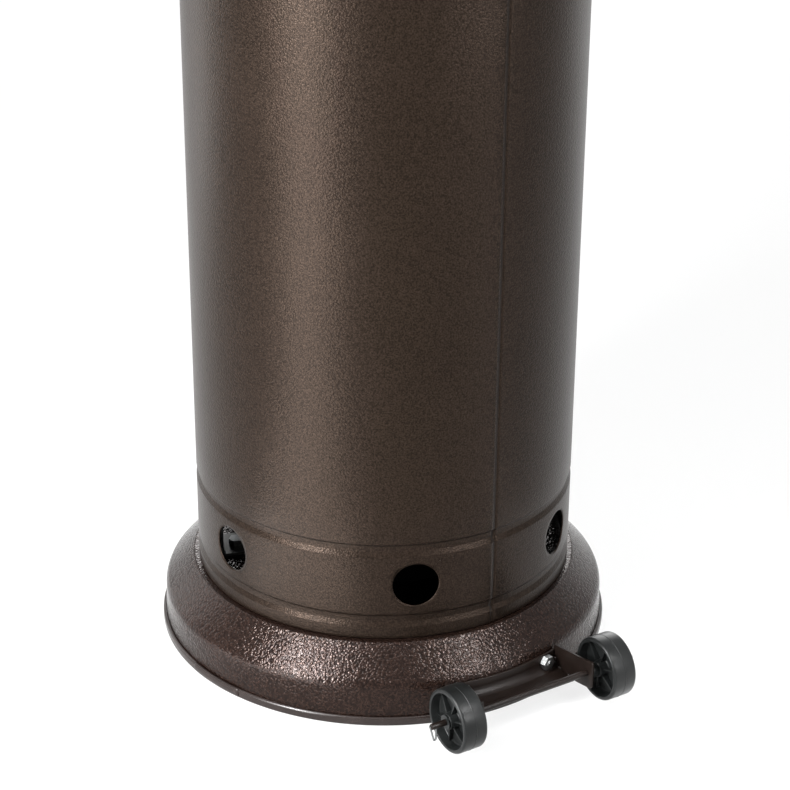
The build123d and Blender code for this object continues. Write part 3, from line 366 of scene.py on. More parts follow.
def plain_finish(name, colour, rough, grain=1.2 * mm, depth=0.03 * mm, metallic=0.0, spread=0.25, **more):
    """Moulded, plated or cast surface with faint mottling and a fine grain."""
    skin = Finish(name)
    grainy = skin.noise(grain, 3.0, 0.6)
    cloud = skin.noise(25 * mm, 3.0, 0.55)
    pale = [min(1.0, c * (1 + spread)) for c in colour]
    deep = [c * (1 - spread) for c in colour]
    tone = skin.ramp(cloud * 0.7 + grainy * 0.3, 0.3, 0.7)
    return skin.surface(
        Base_Color=skin.mix(tone, deep, pale),
        Roughness=rough - 0.06 + cloud * 0.12,
        Normal=skin.bump(grainy, depth),
        Metallic=metallic,
        **more,
    )


def brushed_metal(name, colour, rough, across):
    """Sheet with fine lines round the axis: across says how often the pattern changes in each direction."""
    sheet = Finish(name)
    stretched = sheet.add("ShaderNodeMapping", {}, {"Vector": sheet.place, "Scale": across})
    lines = sheet.noise(1.0, 4.0, 0.7, stretched)
    cloud = sheet.noise(60 * mm, 2.0, 0.5)
    pale = [min(1.0, c * 1.08) for c in colour]
    deep = [c * 0.86 for c in colour]
    tone = sheet.ramp(cloud * 0.5 + lines * 0.5, 0.3, 0.7)
    return sheet.surface(
        Base_Color=sheet.mix(tone, deep, pale),
        Roughness=rough + lines * 0.14,
        Normal=sheet.bump(lines, 0.02 * mm),
        Metallic=1.0,
    )


smooth = {"grain": 0.8 * mm, "depth": 0.01 * mm}
plated = {"metallic": 1.0, "spread": 0.12}
trim_finish = plain_finish("edge_trim", (0.012, 0.008, 0.007), 0.22, 2.5 * mm, 0.05 * mm, IOR=1.4)
bracket_finish = plain_finish("bracket_paint", (0.007, 0.0045, 0.0036), 0.34, **smooth, IOR=1.25)
wheel_finish = plain_finish("wheel_plastic", (0.006, 0.0066, 0.0066), 0.36, 0.9 * mm, 0.02 * mm, IOR=1.3)
zinc = plain_finish("zinc_plate", (0.27, 0.28, 0.28), 0.36, 0.7 * mm, 0.01 * mm, **plated)
strap_finish = plain_finish("galvanised_strap", (0.15, 0.15, 0.147), 0.50, 6 * mm, metallic=0.9, spread=0.18)
# Painted shade: the gas cylinder's paint is near black, so that the inside of the housing stays dark through
# the vents.
tank_paint_dark_as_shade = plain_finish("cylinder_paint", (0.005, 0.0056, 0.0062), 0.55, 1.6 * mm, 0.04 * mm, IOR=1.25)
brass = plain_finish("machined_brass", (0.62, 0.42, 0.17), 0.28, **smooth, **plated)
alloy = plain_finish("cast_alloy", (0.24, 0.245, 0.25), 0.48, 1.4 * mm, 0.05 * mm, metallic=0.9)
black = plain_finish("black_plastic", (0.012, 0.012, 0.013), 0.34, 0.8 * mm, 0.015 * mm)
rubber = plain_finish("hose_rubber", (0.016, 0.016, 0.016), 0.60, 1.0 * mm, 0.03 * mm)
ceramic = plain_finish("glazed_ceramic", (0.78, 0.76, 0.72), 0.18, spread=0.05)
white_mark = plain_finish("white_mark", (0.75, 0.75, 0.73), 0.5, spread=0.05)
stainless = brushed_metal("stainless_sheet", (0.36, 0.35, 0.33), 0.30, (40, 40, 1400))
spun_aluminium = brushed_metal("spun_aluminium", (0.46, 0.46, 0.46), 0.26, (30, 30, 1800))
print("finishes:", len(bpy.data.materials))

# %% [markdown]
# Nearly every piece here is round, so one tool does most of the work: an outline in the radius and height,
# whose corners are rounded by bevelling its points, is spun about the axis. An open outline is a sheet, and
# gets its wall from a Solidify modifier. A closed one, or one that starts and ends on the axis, is solid.

# %% Turning tools


def of_kind(items, kind):
    """Only the vertices or only the faces among what an operator gives back."""
    return [item for item in items if isinstance(item, kind)]


def round_off(shape, geom, width, affect, segments, clamp=False):
    """Bevel with an even round."""
    bmesh.ops.bevel(
        shape,
        geom=geom,
        offset=width,
        offset_type="OFFSET",
        affect=affect,
        segments=segments,
        profile=0.5,
        material=-1,
        clamp_overlap=clamp,
    )


def rounded_outline(shape, points, rounds=0.0, closed=False, segments=5):
    """Outline in the XZ plane. Each inner corner is bevelled to its radius, in metres."""
    corners = [shape.verts.new((radius, 0, height)) for radius, height in points]
    pairs = list(zip(corners, corners[1:]))
    if closed:
        pairs.append((corners[-1], corners[0]))
    for pair in pairs:
        shape.edges.new(pair)
    if not isinstance(rounds, (list, tuple)):
        rounds = [rounds] * len(points)
    count = len(points)
    for index, radius in enumerate(rounds):
        if radius <= 0 or (not closed and index in (0, count - 1)):
            continue
        here = Vector(points[index])
        back = (here - Vector(points[index - 1])).normalized()
        ahead = (Vector(points[(index + 1) % count]) - here).normalized()
        reach = radius * tan(back.angle(ahead) / 2)
        round_off(shape, [corners[index]], reach, "VERTICES", segments)


def swing(shape, angle):
    """Everything so far is turned about Z."""
    bmesh.ops.rotate(shape, verts=shape.verts, cent=(0, 0, 0), matrix=Matrix.Rotation(angle, 3, "Z"))


def spin_round(shape, steps, angle=tau, merge=True):
    """Everything so far is spun about Z."""
    made = bmesh.ops.spin(
        shape,
        geom=shape.verts[:] + shape.edges[:] + shape.faces[:],
        cent=(0, 0, 0),
        axis=(0, 0, 1),
        dvec=(0, 0, 0),
        angle=angle,
        steps=steps,
        use_merge=merge,
        use_duplicate=False,
    )
    return made["geom_last"]


def tidy_faces(shape):
    """Doubles are merged and every face is turned outwards."""
    bmesh.ops.remove_doubles(shape, verts=shape.verts, dist=1e-6)
    bmesh.ops.recalc_face_normals(shape, faces=shape.faces)


def turned(points, rounds=0.0, steps=96, closed=False, segments=5):
    """A round piece about Z."""
    shape = bmesh.new()
    rounded_outline(shape, points, rounds, closed, segments)
    spin_round(shape, steps)
    tidy_faces(shape)
    return shape


print("turning tools ready")

# %% [markdown]
# Some pieces are flat or made of several shapes. Faces can be pushed out along a way, a round piece can be
# laid along another direction, and several shapes can become one. The last helper makes the object: its
# place is in its mesh, so it stays at the origin, rides on one body of the heater, and stands for the nodes
# of the construction model that it replaces.

# %% Placing tools


def push(shape, faces, way):
    """Faces are pushed out along a way, and the new end faces come back."""
    pushed = bmesh.ops.extrude_face_region(shape, geom=faces)["geom"]
    bmesh.ops.translate(shape, verts=of_kind(pushed, BMVert), vec=way)
    return of_kind(pushed, BMFace)


def turn_out(shape):
    """An open sheet faces away from the axis at its widest place."""
    widest = max(shape.faces, key=lambda face: face.calc_center_median().xy.length)
    if widest.normal.xy.dot(widest.calc_center_median().xy) < 0:
        bmesh.ops.reverse_faces(shape, faces=shape.faces)
    return shape


def lay_along(shape, direction, place):
    """A piece turned about Z is laid along another direction."""
    turn = Vector(direction).to_track_quat("Z", "Y").to_matrix().to_4x4()
    bmesh.ops.transform(shape, matrix=Matrix.Translation(place) @ turn, verts=shape.verts)
    return shape


def join(*shapes):
    """Several shapes become one."""
    first = shapes[0]
    for other in shapes[1:]:
        mesh = bpy.data.meshes.new("joining")
        other.to_mesh(mesh)
        other.free()
        first.from_mesh(mesh)
        bpy.data.meshes.remove(mesh)
    return first


def piece(name, shape, finish, body, replaced=(), wall=0.0, sharp=38):
    """The shape becomes an object that rides on a body and stands for nodes."""
    mesh = bpy.data.meshes.new(name)
    shape.to_mesh(mesh)
    shape.free()
    for face in mesh.polygons:
        face.use_smooth = True
    mesh.set_sharp_from_angle(angle=radians(sharp))
    mesh.materials.append(finish.material)
    made = bpy.data.objects.new(name, mesh)
    scene.collection.objects.link(made)
    if wall:
        thick = made.modifiers.new("wall", "SOLIDIFY")
        thick.thickness = wall
        thick.offset = -1
        thick.use_even_offset = True
    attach(made, body)
    if replaced:
        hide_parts(*replaced)
    print(f"{name}: {len(mesh.polygons)} faces on {body}")


print("placing tools ready")

# %% [markdown]
# The base is one pressed sheet: a skirt that leans in a little, a break, a slope of about 45 degrees, and a
# ledge on which the housing stands. The places of its folds are the driving sizes, and the rest is read
# from the construction model's boxes.

# %% Pressed base
base_low, base_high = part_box("base_pan")
house_low, house_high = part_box("housing_shell")
skirt_radius = base_high.x
deck_height = base_high.z
housing_radius = house_high.x
housing_bottom = house_low.z
housing_top = house_high.z
skirt_rise = 8 * mm
break_radius, break_height = 219 * mm, 41.6 * mm
ledge_radius, ledge_height = 190 * mm, 71 * mm
neck_radius = 180.5 * mm
drain_radius = 20 * mm
base_sheet = 1.5 * mm

base_outline = [
    (skirt_radius, base_low.z),
    (skirt_radius, skirt_rise),
    (break_radius, break_height),
    (ledge_radius, ledge_height),
    (neck_radius, ledge_height),
    (neck_radius, deck_height),
    (drain_radius, deck_height),
]
base_rounds = [0, 3 * mm, 13 * mm, 3 * mm, 3 * mm, 3 * mm, 0]
base_shape = turned(base_outline, base_rounds, steps=256, segments=8)
piece("pressed_base", turn_out(base_shape), base_bronze, "frame", ["base_pan"], wall=base_sheet)

# %% [markdown]
# The housing is a flat sheet, rolled round and lapped on itself at the back. Two shallow grooves stiffen it.
# A groove is rolled with a steep flank above and a shallow one below, and it is the shallow one that catches
# the light. So the grooves are part of the outline, and not a bump in the paint.

# %% Outline of the housing
seam_angle = radians(92.2)
groove_depth, groove_width = 2.4 * mm, 13.6 * mm
upper_flank, lower_flank = 2.6 * mm, 4.8 * mm
lower_groove = housing_bottom + 19.5 * mm
upper_groove = housing_bottom + 94 * mm
housing_sheet = 1 * mm
hem = 1 * mm
vent_cells = 16
wall_rows = 20
band_low, band_high = lower_groove + groove_width / 2, upper_groove - groove_width / 2


def groove(height):
    """Points of one rolled groove, from bottom to top."""
    floor = housing_radius - groove_depth
    return [
        (housing_radius, height - groove_width / 2),
        (floor, height - groove_width / 2 + lower_flank),
        (floor, height + groove_width / 2 - upper_flank),
        (housing_radius, height + groove_width / 2),
    ]


def between(edge, low, high):
    """True for an outline edge that runs between two heights."""
    heights = sorted(vert.co.z for vert in edge.verts)
    return heights[0] > low - mm and heights[1] < high + mm and heights[1] - heights[0] > 0.5 * (high - low)


housing_shape = bmesh.new()
wall_points = [(housing_radius - hem, housing_bottom), (housing_radius, housing_bottom + hem)]
wall_points += groove(lower_groove) + groove(upper_groove)
wall_points.append((housing_radius, housing_top))
rounded_outline(housing_shape, wall_points, 0.8 * mm, segments=3)
band = [edge for edge in housing_shape.edges if between(edge, band_low, band_high)]
tall = [edge for edge in housing_shape.edges if between(edge, upper_groove + groove_width / 2, housing_top)]
bmesh.ops.subdivide_edges(housing_shape, edges=band, cuts=vent_cells - 1)
bmesh.ops.subdivide_edges(housing_shape, edges=tall, cuts=wall_rows)
swing(housing_shape, seam_angle)
print("housing outline:", len(housing_shape.verts), "points")

# %% [markdown]
# Six vents are punched between the grooves. A boolean cut would leave long thin faces that shade badly on a
# curve, so the vents are made as a sheet worker would mark them out: a square of faces is taken away, a
# circle is set in its place, and the two rims are bridged and pulled back on to the curve.

# %% Rolled housing with its vents
housing_columns = 288
vent_count, first_vent, vent_step = 6, 30, 61.1
vent_radius = 22 * mm
vent_height = housing_bottom + 57.3 * mm
vent_angles = [seam_angle + radians(first_vent + vent_step * number) for number in range(vent_count)]


def punch_vent(shape, angle):
    """A square of faces is replaced by a round hole with faces bridged to it."""
    step = tau / housing_columns
    start = round((angle - seam_angle) / step - vent_cells / 2)
    middle = seam_angle + (start + vent_cells / 2) * step
    spread = step * vent_cells / 2

    def inside(point):
        turn = (atan2(point.y, point.x) - middle + pi) % tau - pi
        return abs(turn) < spread and band_low < point.z < band_high

    square = [face for face in shape.faces if inside(face.calc_center_median())]
    rim = {edge for face in square for edge in face.edges}
    rim = [edge for edge in rim if sum(face in square for face in edge.link_faces) == 1]
    bmesh.ops.delete(shape, geom=square, context="FACES")
    facing = Vector((cos(angle), sin(angle), 0))
    turn = facing.to_track_quat("Z", "Y").to_matrix().to_4x4()
    place = Matrix.Translation(facing * housing_radius + Vector((0, 0, vent_height)))
    circle = bmesh.ops.create_circle(shape, segments=4 * vent_cells, radius=vent_radius, matrix=place @ turn)
    ring_verts = circle["verts"]
    for vert in ring_verts:
        across = vert.co - facing * vert.co.dot(facing)
        aside = Vector((across.x, across.y, 0))
        reach = (housing_radius**2 - aside.length_squared) ** 0.5
        vert.co = facing * reach + across
    ring_edges = {edge for vert in ring_verts for edge in vert.link_edges}
    bridged = bmesh.ops.bridge_loops(shape, edges=list(ring_edges) + rim)
    ring_set = set(ring_verts)
    spokes = {edge for face in bridged["faces"] for edge in face.edges}
    spokes = [edge for edge in spokes if len(ring_set & set(edge.verts)) == 1]
    cut = bmesh.ops.subdivide_edges(shape, edges=spokes, cuts=4, use_grid_fill=True)
    for vert in set(of_kind(cut["geom_inner"], BMVert)):
        vert.co.xy = vert.co.xy.normalized() * housing_radius
    return len(square)


last_column = set(of_kind(spin_round(housing_shape, housing_columns, merge=False), BMVert))
punched = [punch_vent(housing_shape, angle) for angle in vent_angles]
print("faces punched out for each vent:", punched)

# %% [markdown]
# At the seam one end of the sheet lies on the other, so a thin step runs down the back. The last part of the
# sheet climbs by less than its thickness, in an easy curve that starts and ends level. A line drawn in the
# paint would look flat, while this step catches the light on one side only, as the real one does.

# %% The lap at the seam
lap_rise = 0.6 * mm
lap_ease = radians(16)
same_place = 1e-4
bmesh.ops.recalc_face_normals(housing_shape, faces=housing_shape.faces)
for vert in housing_shape.verts:
    turn = (atan2(vert.co.y, vert.co.x) - seam_angle) % tau
    if vert in last_column:
        turn = tau
    elif turn > tau - same_place:
        turn = 0.0
    climb = max(0.0, 1 - (tau - turn) / lap_ease)
    vert.co.xy *= 1 + lap_rise * climb * climb * (3 - 2 * climb) / housing_radius
turn_out(housing_shape)
piece("rolled_housing", housing_shape, bronze, "tank_housing", ["housing_shell"], housing_sheet)

# %% [markdown]
# The lid of the housing carries the same paint. It is a pressed dome with a short upright rim, a plastic bush
# in its middle that slides on the post, and four screws through the rim.

# %% Lid, bush and post
lid_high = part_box("housing_cap")[1]
bush_low, bush_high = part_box("housing_bush")
post_low, post_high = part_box("post")
lid_crown_radius = 80 * mm
lid_rim = 2.7 * mm
lid_sheet = 1.2 * mm
post_radius = post_high.x
bush_bore = post_radius + 0.3 * mm
bush_radius = bush_bore + 6 * mm
lid_base = housing_top + 0.2 * mm

lid_outline = [
    (lid_high.x, lid_base),
    (lid_high.x, lid_base + lid_rim),
    (lid_crown_radius, lid_high.z),
    (bush_radius, lid_high.z),
]
lid_shape = turned(lid_outline, [0, 1.8 * mm, 60 * mm, 0], steps=192, segments=10)
piece("housing_lid", turn_out(lid_shape), bronze, "tank_housing", ["housing_cap"], lid_sheet)

bush_outline = [
    (bush_bore, bush_low.z),
    (bush_radius, bush_low.z),
    (bush_radius, lid_high.z),
    (bush_high.x, lid_high.z),
    (bush_high.x, bush_high.z),
    (bush_bore, bush_high.z),
]
bush_shape = turned(bush_outline, [0.6 * mm, 0.6 * mm, 0, 0.4 * mm, 1.4 * mm, 0.8 * mm], closed=True)
piece("post_bush", bush_shape, black, "tank_housing", ["housing_bush"])

post_bore = post_radius - 1.5 * mm
post_outline = [
    (post_bore, post_low.z),
    (post_radius, post_low.z),
    (post_radius, post_high.z),
    (post_bore, post_high.z),
]
piece("round_post", turned(post_outline, 0.4 * mm, closed=True), bronze, "frame", ["post"])

# %% [markdown]
# A dark plastic trim covers the sharp lower edge of the skirt. It is pushed on as a strip, so at one place
# its two ends lap, and that lap shows in the photograph as a short doubled stretch.

# %% Edge trim
trim_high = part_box("base_edge_trim")[1]
trim_radius, trim_height = trim_high.x, trim_high.z
slot_outer = skirt_radius + 0.3 * mm
slot_inner = skirt_radius - 1.8 * mm
lip_radius = slot_inner - 5 * mm
trim_floor = 1.8 * mm
trim_outline = [
    (trim_radius, 0),
    (trim_radius, trim_height),
    (slot_outer, trim_height),
    (slot_outer, trim_floor),
    (slot_inner, trim_floor),
    (slot_inner, trim_height),
    (lip_radius, trim_height),
    (lip_radius, 0),
]
trim_rounds = [1.0 * mm, 2.4 * mm, 0.4 * mm, 0, 0, 0.4 * mm, 0.8 * mm, 0.4 * mm]
trim_shape = turned(trim_outline, trim_rounds, steps=256, closed=True)
piece("edge_trim", trim_shape, trim_finish, "frame", ["base_edge_trim"])

# %% [markdown]
# Where the strip ends, a short second length of trim was pushed over the first. It is a thin curved shell,
# spun through a few degrees only, and it stands a little proud of the trim that it covers.

# %% Lapped end of the trim
lap_start = view_azimuth - radians(145)
lap_sweep = radians(17)
lap_shape = bmesh.new()
lap_outline = [
    (trim_radius - 2.2 * mm, trim_height + 0.5 * mm),
    (trim_radius + 0.2 * mm, trim_height - 0.4 * mm),
    (trim_radius + 0.9 * mm, trim_height / 2),
    (trim_radius + 0.5 * mm, 0.6 * mm),
    (trim_radius - 0.6 * mm, 0.3 * mm),
]
rounded_outline(lap_shape, lap_outline, 1.2 * mm, segments=3)
swing(lap_shape, lap_start)
spin_round(lap_shape, 24, lap_sweep, merge=False)
tidy_faces(lap_shape)
piece("trim_lap", turn_out(lap_shape), trim_finish, "frame", wall=0.9 * mm)

# %% [markdown]
# The wheel bracket is bent and welded from flat strip: a curved plate that bolts to the skirt, a shelf with a
# straight front edge, and two ears that carry the axle. Each flat is an outline that is filled and pushed to
# its thickness, and one bevel over all edges breaks them as paint does.

# %% Bracket tools
bracket_sheet = 2.5 * mm
plate_gap = 0.3 * mm
skirt_lean = (skirt_radius - break_radius) / (break_height - skirt_rise)


def skirt_at(height):
    """Outside radius of the skirt at a height."""
    return skirt_radius - (height - skirt_rise) * skirt_lean


def flat_plate(points, rounds, thickness, to_place):
    """Outline in its own XY plane, with rounded corners, filled and pushed to its thickness."""
    shape = bmesh.new()
    corners = [shape.verts.new((x, y, 0)) for x, y in points]
    for first, second in zip(corners, corners[1:] + corners[:1]):
        shape.edges.new((first, second))
    for corner, radius in zip(corners, rounds):
        if radius:
            round_off(shape, [corner], radius, "VERTICES", 6)
    bmesh.ops.contextual_create(shape, geom=shape.edges[:])
    push(shape, shape.faces[:], (0, 0, thickness))
    tidy_faces(shape)
    bmesh.ops.transform(shape, matrix=to_place, verts=shape.verts)
    return shape


def break_edges(shape, width):
    """Sharp edges are bevelled a little."""
    folds = [edge for edge in shape.edges if len(edge.link_faces) == 2]
    sharp = [edge for edge in folds if edge.calc_face_angle(0) > radians(40)]
    round_off(shape, sharp, width, "EDGES", 2, clamp=True)
    return shape


print("the skirt leans in by", round(skirt_lean, 3), "of its height")

# %% [markdown]
# The two ears are alike. Each is drawn flat, seen from the side: its root follows the skirt, its nose carries
# the axle. It is then stood upright at its place, left and right of the middle.

# %% Ears of the bracket
bracket_low, bracket_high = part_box("wheel_bracket")
shelf_height = bracket_low.z
ear_nose = bracket_high.y
ear_outside = bracket_high.x
ear_inside = ear_outside - bracket_sheet
shelf_front = 247 * mm
ear_low, ear_high = 26 * mm, 55 * mm
fold_round = 8 * mm
plate_top = break_height - 3 * mm
plate_half = atan2(ear_outside, break_radius)
root_low = (skirt_at(shelf_height) ** 2 - ear_inside**2) ** 0.5 + 1 * mm
root_high = (break_radius**2 - ear_inside**2) ** 0.5 + 1 * mm
side_on = Matrix(((0, 0, 1, 0), (1, 0, 0, 0), (0, 1, 0, 0), (0, 0, 0, 1)))

ears = []
for left_face in (-ear_outside, ear_inside):
    ear_outline = [
        (root_low, shelf_height),
        (shelf_front, shelf_height),
        (ear_nose, ear_low),
        (ear_nose, ear_high),
        (root_high, break_height),
    ]
    place = Matrix.Translation((left_face, 0, 0)) @ side_on
    ear = flat_plate(ear_outline, [0, 4 * mm, 4 * mm, 3 * mm, 0], bracket_sheet, place)
    ears.append(break_edges(ear, 0.5 * mm))
print("ears:", len(ears))

# %% [markdown]
# The shelf's back edge follows the round skirt, and its front edge is straight. So the back edge is one point
# that is spun part of the way round, three straight edges close the outline, and the face is pushed upwards.

# %% Shelf of the bracket
shelf_back = skirt_at(shelf_height) + plate_gap
shelf_shape = bmesh.new()
turn_from = pi / 2 - atan2(ear_inside, shelf_back)
back_start = shelf_shape.verts.new((shelf_back * cos(turn_from), shelf_back * sin(turn_from), shelf_height))
bmesh.ops.spin(
    shelf_shape,
    geom=[back_start],
    cent=(0, 0, 0),
    axis=(0, 0, 1),
    angle=2 * (pi / 2 - turn_from),
    steps=32,
    use_merge=False,
)
back_edge = sorted(shelf_shape.verts, key=lambda vert: vert.co.x)
front = [shelf_shape.verts.new((x, shelf_front, shelf_height)) for x in (-ear_inside, ear_inside)]
for first, second in ((back_edge[0], front[0]), (front[0], front[1]), (front[1], back_edge[-1])):
    shelf_shape.edges.new((first, second))
bmesh.ops.contextual_create(shelf_shape, geom=shelf_shape.edges[:])
push(shelf_shape, shelf_shape.faces[:], (0, 0, bracket_sheet))
tidy_faces(shelf_shape)
break_edges(shelf_shape, 0.6 * mm)
print("shelf:", len(shelf_shape.faces), "faces")

# %% [markdown]
# The plate is a short stretch of a ring that leans with the skirt, and where it meets the shelf the strip is
# bent, not cut. The bend is a hollow round between the two, spun over the same stretch, and it is what shows
# as a soft line of light above the shelf.

# %% Plate and bend of the bracket
plate_shape = bmesh.new()
plate_outline = [
    (shelf_back, shelf_height),
    (shelf_back + bracket_sheet, shelf_height),
    (skirt_at(plate_top) + plate_gap + bracket_sheet, plate_top),
    (skirt_at(plate_top) + plate_gap, plate_top),
]
rounded_outline(plate_shape, plate_outline, 0.5 * mm, closed=True, segments=3)
swing(plate_shape, pi / 2 - plate_half)
spin_round(plate_shape, 48, 2 * plate_half, merge=False)
bmesh.ops.holes_fill(plate_shape, edges=[e for e in plate_shape.edges if e.is_boundary], sides=0)
tidy_faces(plate_shape)

fold_shape = bmesh.new()
fold_radius = shelf_back + bracket_sheet - 0.1 * mm
fold_height = shelf_height + bracket_sheet - 0.1 * mm
fold_outline = [
    (fold_radius, fold_height + 1.1 * fold_round),
    (fold_radius, fold_height),
    (fold_radius + 1.1 * fold_round, fold_height),
]
rounded_outline(fold_shape, fold_outline, fold_round, segments=8)
swing(fold_shape, pi / 2 - plate_half)
spin_round(fold_shape, 48, 2 * plate_half, merge=False)
tidy_faces(fold_shape)
bracket_shape = join(plate_shape, shelf_shape, turn_out(fold_shape), *ears)
print("bracket:", len(bracket_shape.faces), "faces")

# %% [markdown]
# Weld metal shows as small lumps where an ear meets the plate and the shelf. A lump is a squashed ball, and
# a few of them in a row, each a little different, read as a hand-made bead.

# %% Weld beads
weld_lumps = 0
weld_height = shelf_height + bracket_sheet + 0.3 * mm
for side in (-1, 1):
    inner = side * (ear_inside - 0.6 * mm)
    bead = [(inner, root_low + 8 * mm + 2.6 * mm * lump, weld_height) for lump in range(3)]
    bead += [(inner, shelf_front - 9 * mm + 2.4 * mm * lump, weld_height) for lump in range(3)]
    bead += [(inner, root_high + 4.5 * mm, plate_top - 13 * mm + 2.5 * mm * lump) for lump in range(3)]
    for number, place in enumerate(bead):
        size = (1.5 + 0.5 * sin(2.7 * number + side)) * mm
        shrink = Matrix.Translation(place) @ Matrix.Diagonal((0.8, 1.1, 0.7, 1))
        bmesh.ops.create_icosphere(bracket_shape, subdivisions=2, radius=size, matrix=shrink)
        weld_lumps += 1
print("weld lumps:", weld_lumps)
piece("welded_bracket", bracket_shape, bracket_finish, "frame", ["wheel_bracket"])

# %% [markdown]
# A moulded wheel has a deep recess on each face, a hub, and thin gusset ribs that reach from the hub down to
# the rim. Round its tread runs the fine line where the two halves of the mould met. The rim, web and hub are
# one outline that is spun, and each rib is a block whose outer end is pressed lower than its inner end.

# %% Wheels
wheel_low, wheel_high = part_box("wheel_right")
axle_y = (wheel_low.y + wheel_high.y) / 2
axle_z = (wheel_low.z + wheel_high.z) / 2
wheel_radius = (wheel_high.z - wheel_low.z) / 2
wheel_half = (wheel_high.x - wheel_low.x) / 2
rim_inside = wheel_radius - 4.2 * mm
web_half = 3 * mm
hub_radius, hub_half = 7.5 * mm, wheel_half - 0.4 * mm
axle_bore, hub_bore, hub_sink = 3.05 * mm, 5.6 * mm, 5 * mm
rib_count, rib_thickness, rib_sink, rib_fall, rib_root = 6, 1.4 * mm, 3.5 * mm, 3.5 * mm, 1 * mm
parting = 0.22 * mm


def wheel_shape():
    """Half outline from the hub to the mould line, mirrored over the web, then spun."""
    half = [
        (axle_bore, hub_half - hub_sink),
        (hub_bore, hub_half - hub_sink),
        (hub_bore, hub_half),
        (hub_radius, hub_half),
        (hub_radius + 1 * mm, web_half),
        (rim_inside - 1.2 * mm, web_half),
        (rim_inside, wheel_half),
        (wheel_radius - parting, wheel_half),
        (wheel_radius - parting, 0.45 * mm),
        (wheel_radius, 0.2 * mm),
    ]
    radii = [0.4, 0.4, 0.4, 0.6, 1.2, 1.2, 0.9, 2.4, 0, 0]
    points = half + [(radius, -height) for radius, height in reversed(half)]
    rounds = [r * mm for r in radii + radii[::-1]]
    shape = turned(points, rounds, steps=96, closed=True, segments=4)
    ribs = []
    for face in (-1, 1):
        for number in range(rib_count):
            inner, outer = hub_radius - rib_root, rim_inside + rib_root
            rib = bmesh.new()
            top = wheel_half - rib_sink
            size = Matrix.Diagonal((outer - inner, rib_thickness, top - web_half + rib_root, 1))
            place = Matrix.Translation(((outer + inner) / 2, 0, (top + web_half - rib_root) / 2))
            bmesh.ops.create_cube(rib, size=1.0, matrix=place @ size)
            for vert in rib.verts:
                if vert.co.x > (outer + inner) / 2 and vert.co.z > web_half:
                    vert.co.z -= rib_fall
            break_edges(rib, 0.35 * mm)
            spin = Matrix.Rotation(tau * (number + 0.3) / rib_count, 4, "Z")
            turn = spin if face > 0 else spin @ Matrix.Rotation(pi, 4, "X")
            bmesh.ops.transform(rib, matrix=turn, verts=rib.verts)
            ribs.append(rib)
    return join(shape, *ribs)


for node, body, side in (("wheel_left", "left_wheel", -1), ("wheel_right", "right_wheel", 1)):
    middle = side * (wheel_low.x + wheel_half)
    wheel = lay_along(wheel_shape(), (1, 0, 0), (middle, axle_y, axle_z))
    piece("moulded_" + node, wheel, wheel_finish, body, [node])

# %% [markdown]
# The axle is plain rod with its ends rounded over. A hairpin of spring wire at each end keeps the wheel on:
# a wire circle is pushed along one leg, swept half round for the bend, and pushed back along the other leg,
# which leans away. The bend hangs below the axle, and the legs pass up through it.

# %% Axle and hairpins
axle_low, axle_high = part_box("wheel_axle")
pin_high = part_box("cotter_pins")[1]
axle_radius = (axle_high.z - axle_low.z) / 2
pin_wire = 0.9 * mm
pin_x = pin_high.x + 1 * mm
pin_gap, pin_lean, pin_length = 2.6 * mm, 4 * mm, 15 * mm
rod_outline = [(0, axle_low.x), (axle_radius, axle_low.x), (axle_radius, axle_high.x), (0, axle_high.x)]
rod = lay_along(turned(rod_outline, 1.2 * mm, steps=32), (1, 0, 0), (0, axle_y, axle_z))
piece("axle_rod", rod, bracket_finish, "frame", ["wheel_axle"])


def hairpin(side):
    """Spring wire that hangs from the axle: straight leg, bend, and a leg that leans away."""
    shape = bmesh.new()
    bmesh.ops.create_circle(shape, cap_ends=True, segments=12, radius=pin_wire)
    first = push(shape, shape.faces[:], (0, 0, pin_length))
    middle = (0, pin_gap / 2, pin_length)
    bend = bmesh.ops.spin(shape, geom=first, cent=middle, axis=(1, 0, 0), angle=-pi, steps=14, use_merge=False)
    push(shape, of_kind(bend["geom_last"], BMFace), (0, pin_lean, -pin_length))
    tidy_faces(shape)
    hang = Matrix.Rotation(side * pi / 2, 4, "Z") @ Matrix.Rotation(pi, 4, "X")
    place = Matrix.Translation((side * pin_x, axle_y, axle_z + 1 * mm))
    bmesh.ops.transform(shape, matrix=place @ hang, verts=shape.verts)
    return shape


pins = [hairpin(side) for side in (-1, 1)]
piece("axle_hairpins", join(*pins), zinc, "frame", ["cotter_pins"])

# %% [markdown]
# Two zinc nuts hold the bracket. A nut starts as a six-sided prism whose corners are turned off by a bevel on
# its outer rim, and the bolt's end in it is a short lathe outline with fine ridges for the thread.

# %% Bracket nuts and bolt ends
nut_radius, nut_height = 7.5 * mm, 6.5 * mm
bolt_radius, bolt_tail = 4 * mm, 0.8 * mm
bolt_angle = radians(12.2)
bolt_height = 31.5 * mm
nut_seat = plate_gap + bracket_sheet + 0.2 * mm
thread_pitch, thread_depth = 1.25 * mm, 0.35 * mm


def hex_nut():
    """Six-sided prism on the XY plane with turned corners."""
    shape = bmesh.new()
    rise = Matrix.Translation((0, 0, nut_height / 2))
    bmesh.ops.create_cone(
        shape, cap_ends=True, segments=6, radius1=nut_radius, radius2=nut_radius, depth=nut_height, matrix=rise
    )
    caps = [face for face in shape.faces if len(face.verts) == 6]
    rims = [edge for face in caps for edge in face.edges]
    round_off(shape, rims, 0.7 * mm, "EDGES", 2)
    tidy_faces(shape)
    return shape


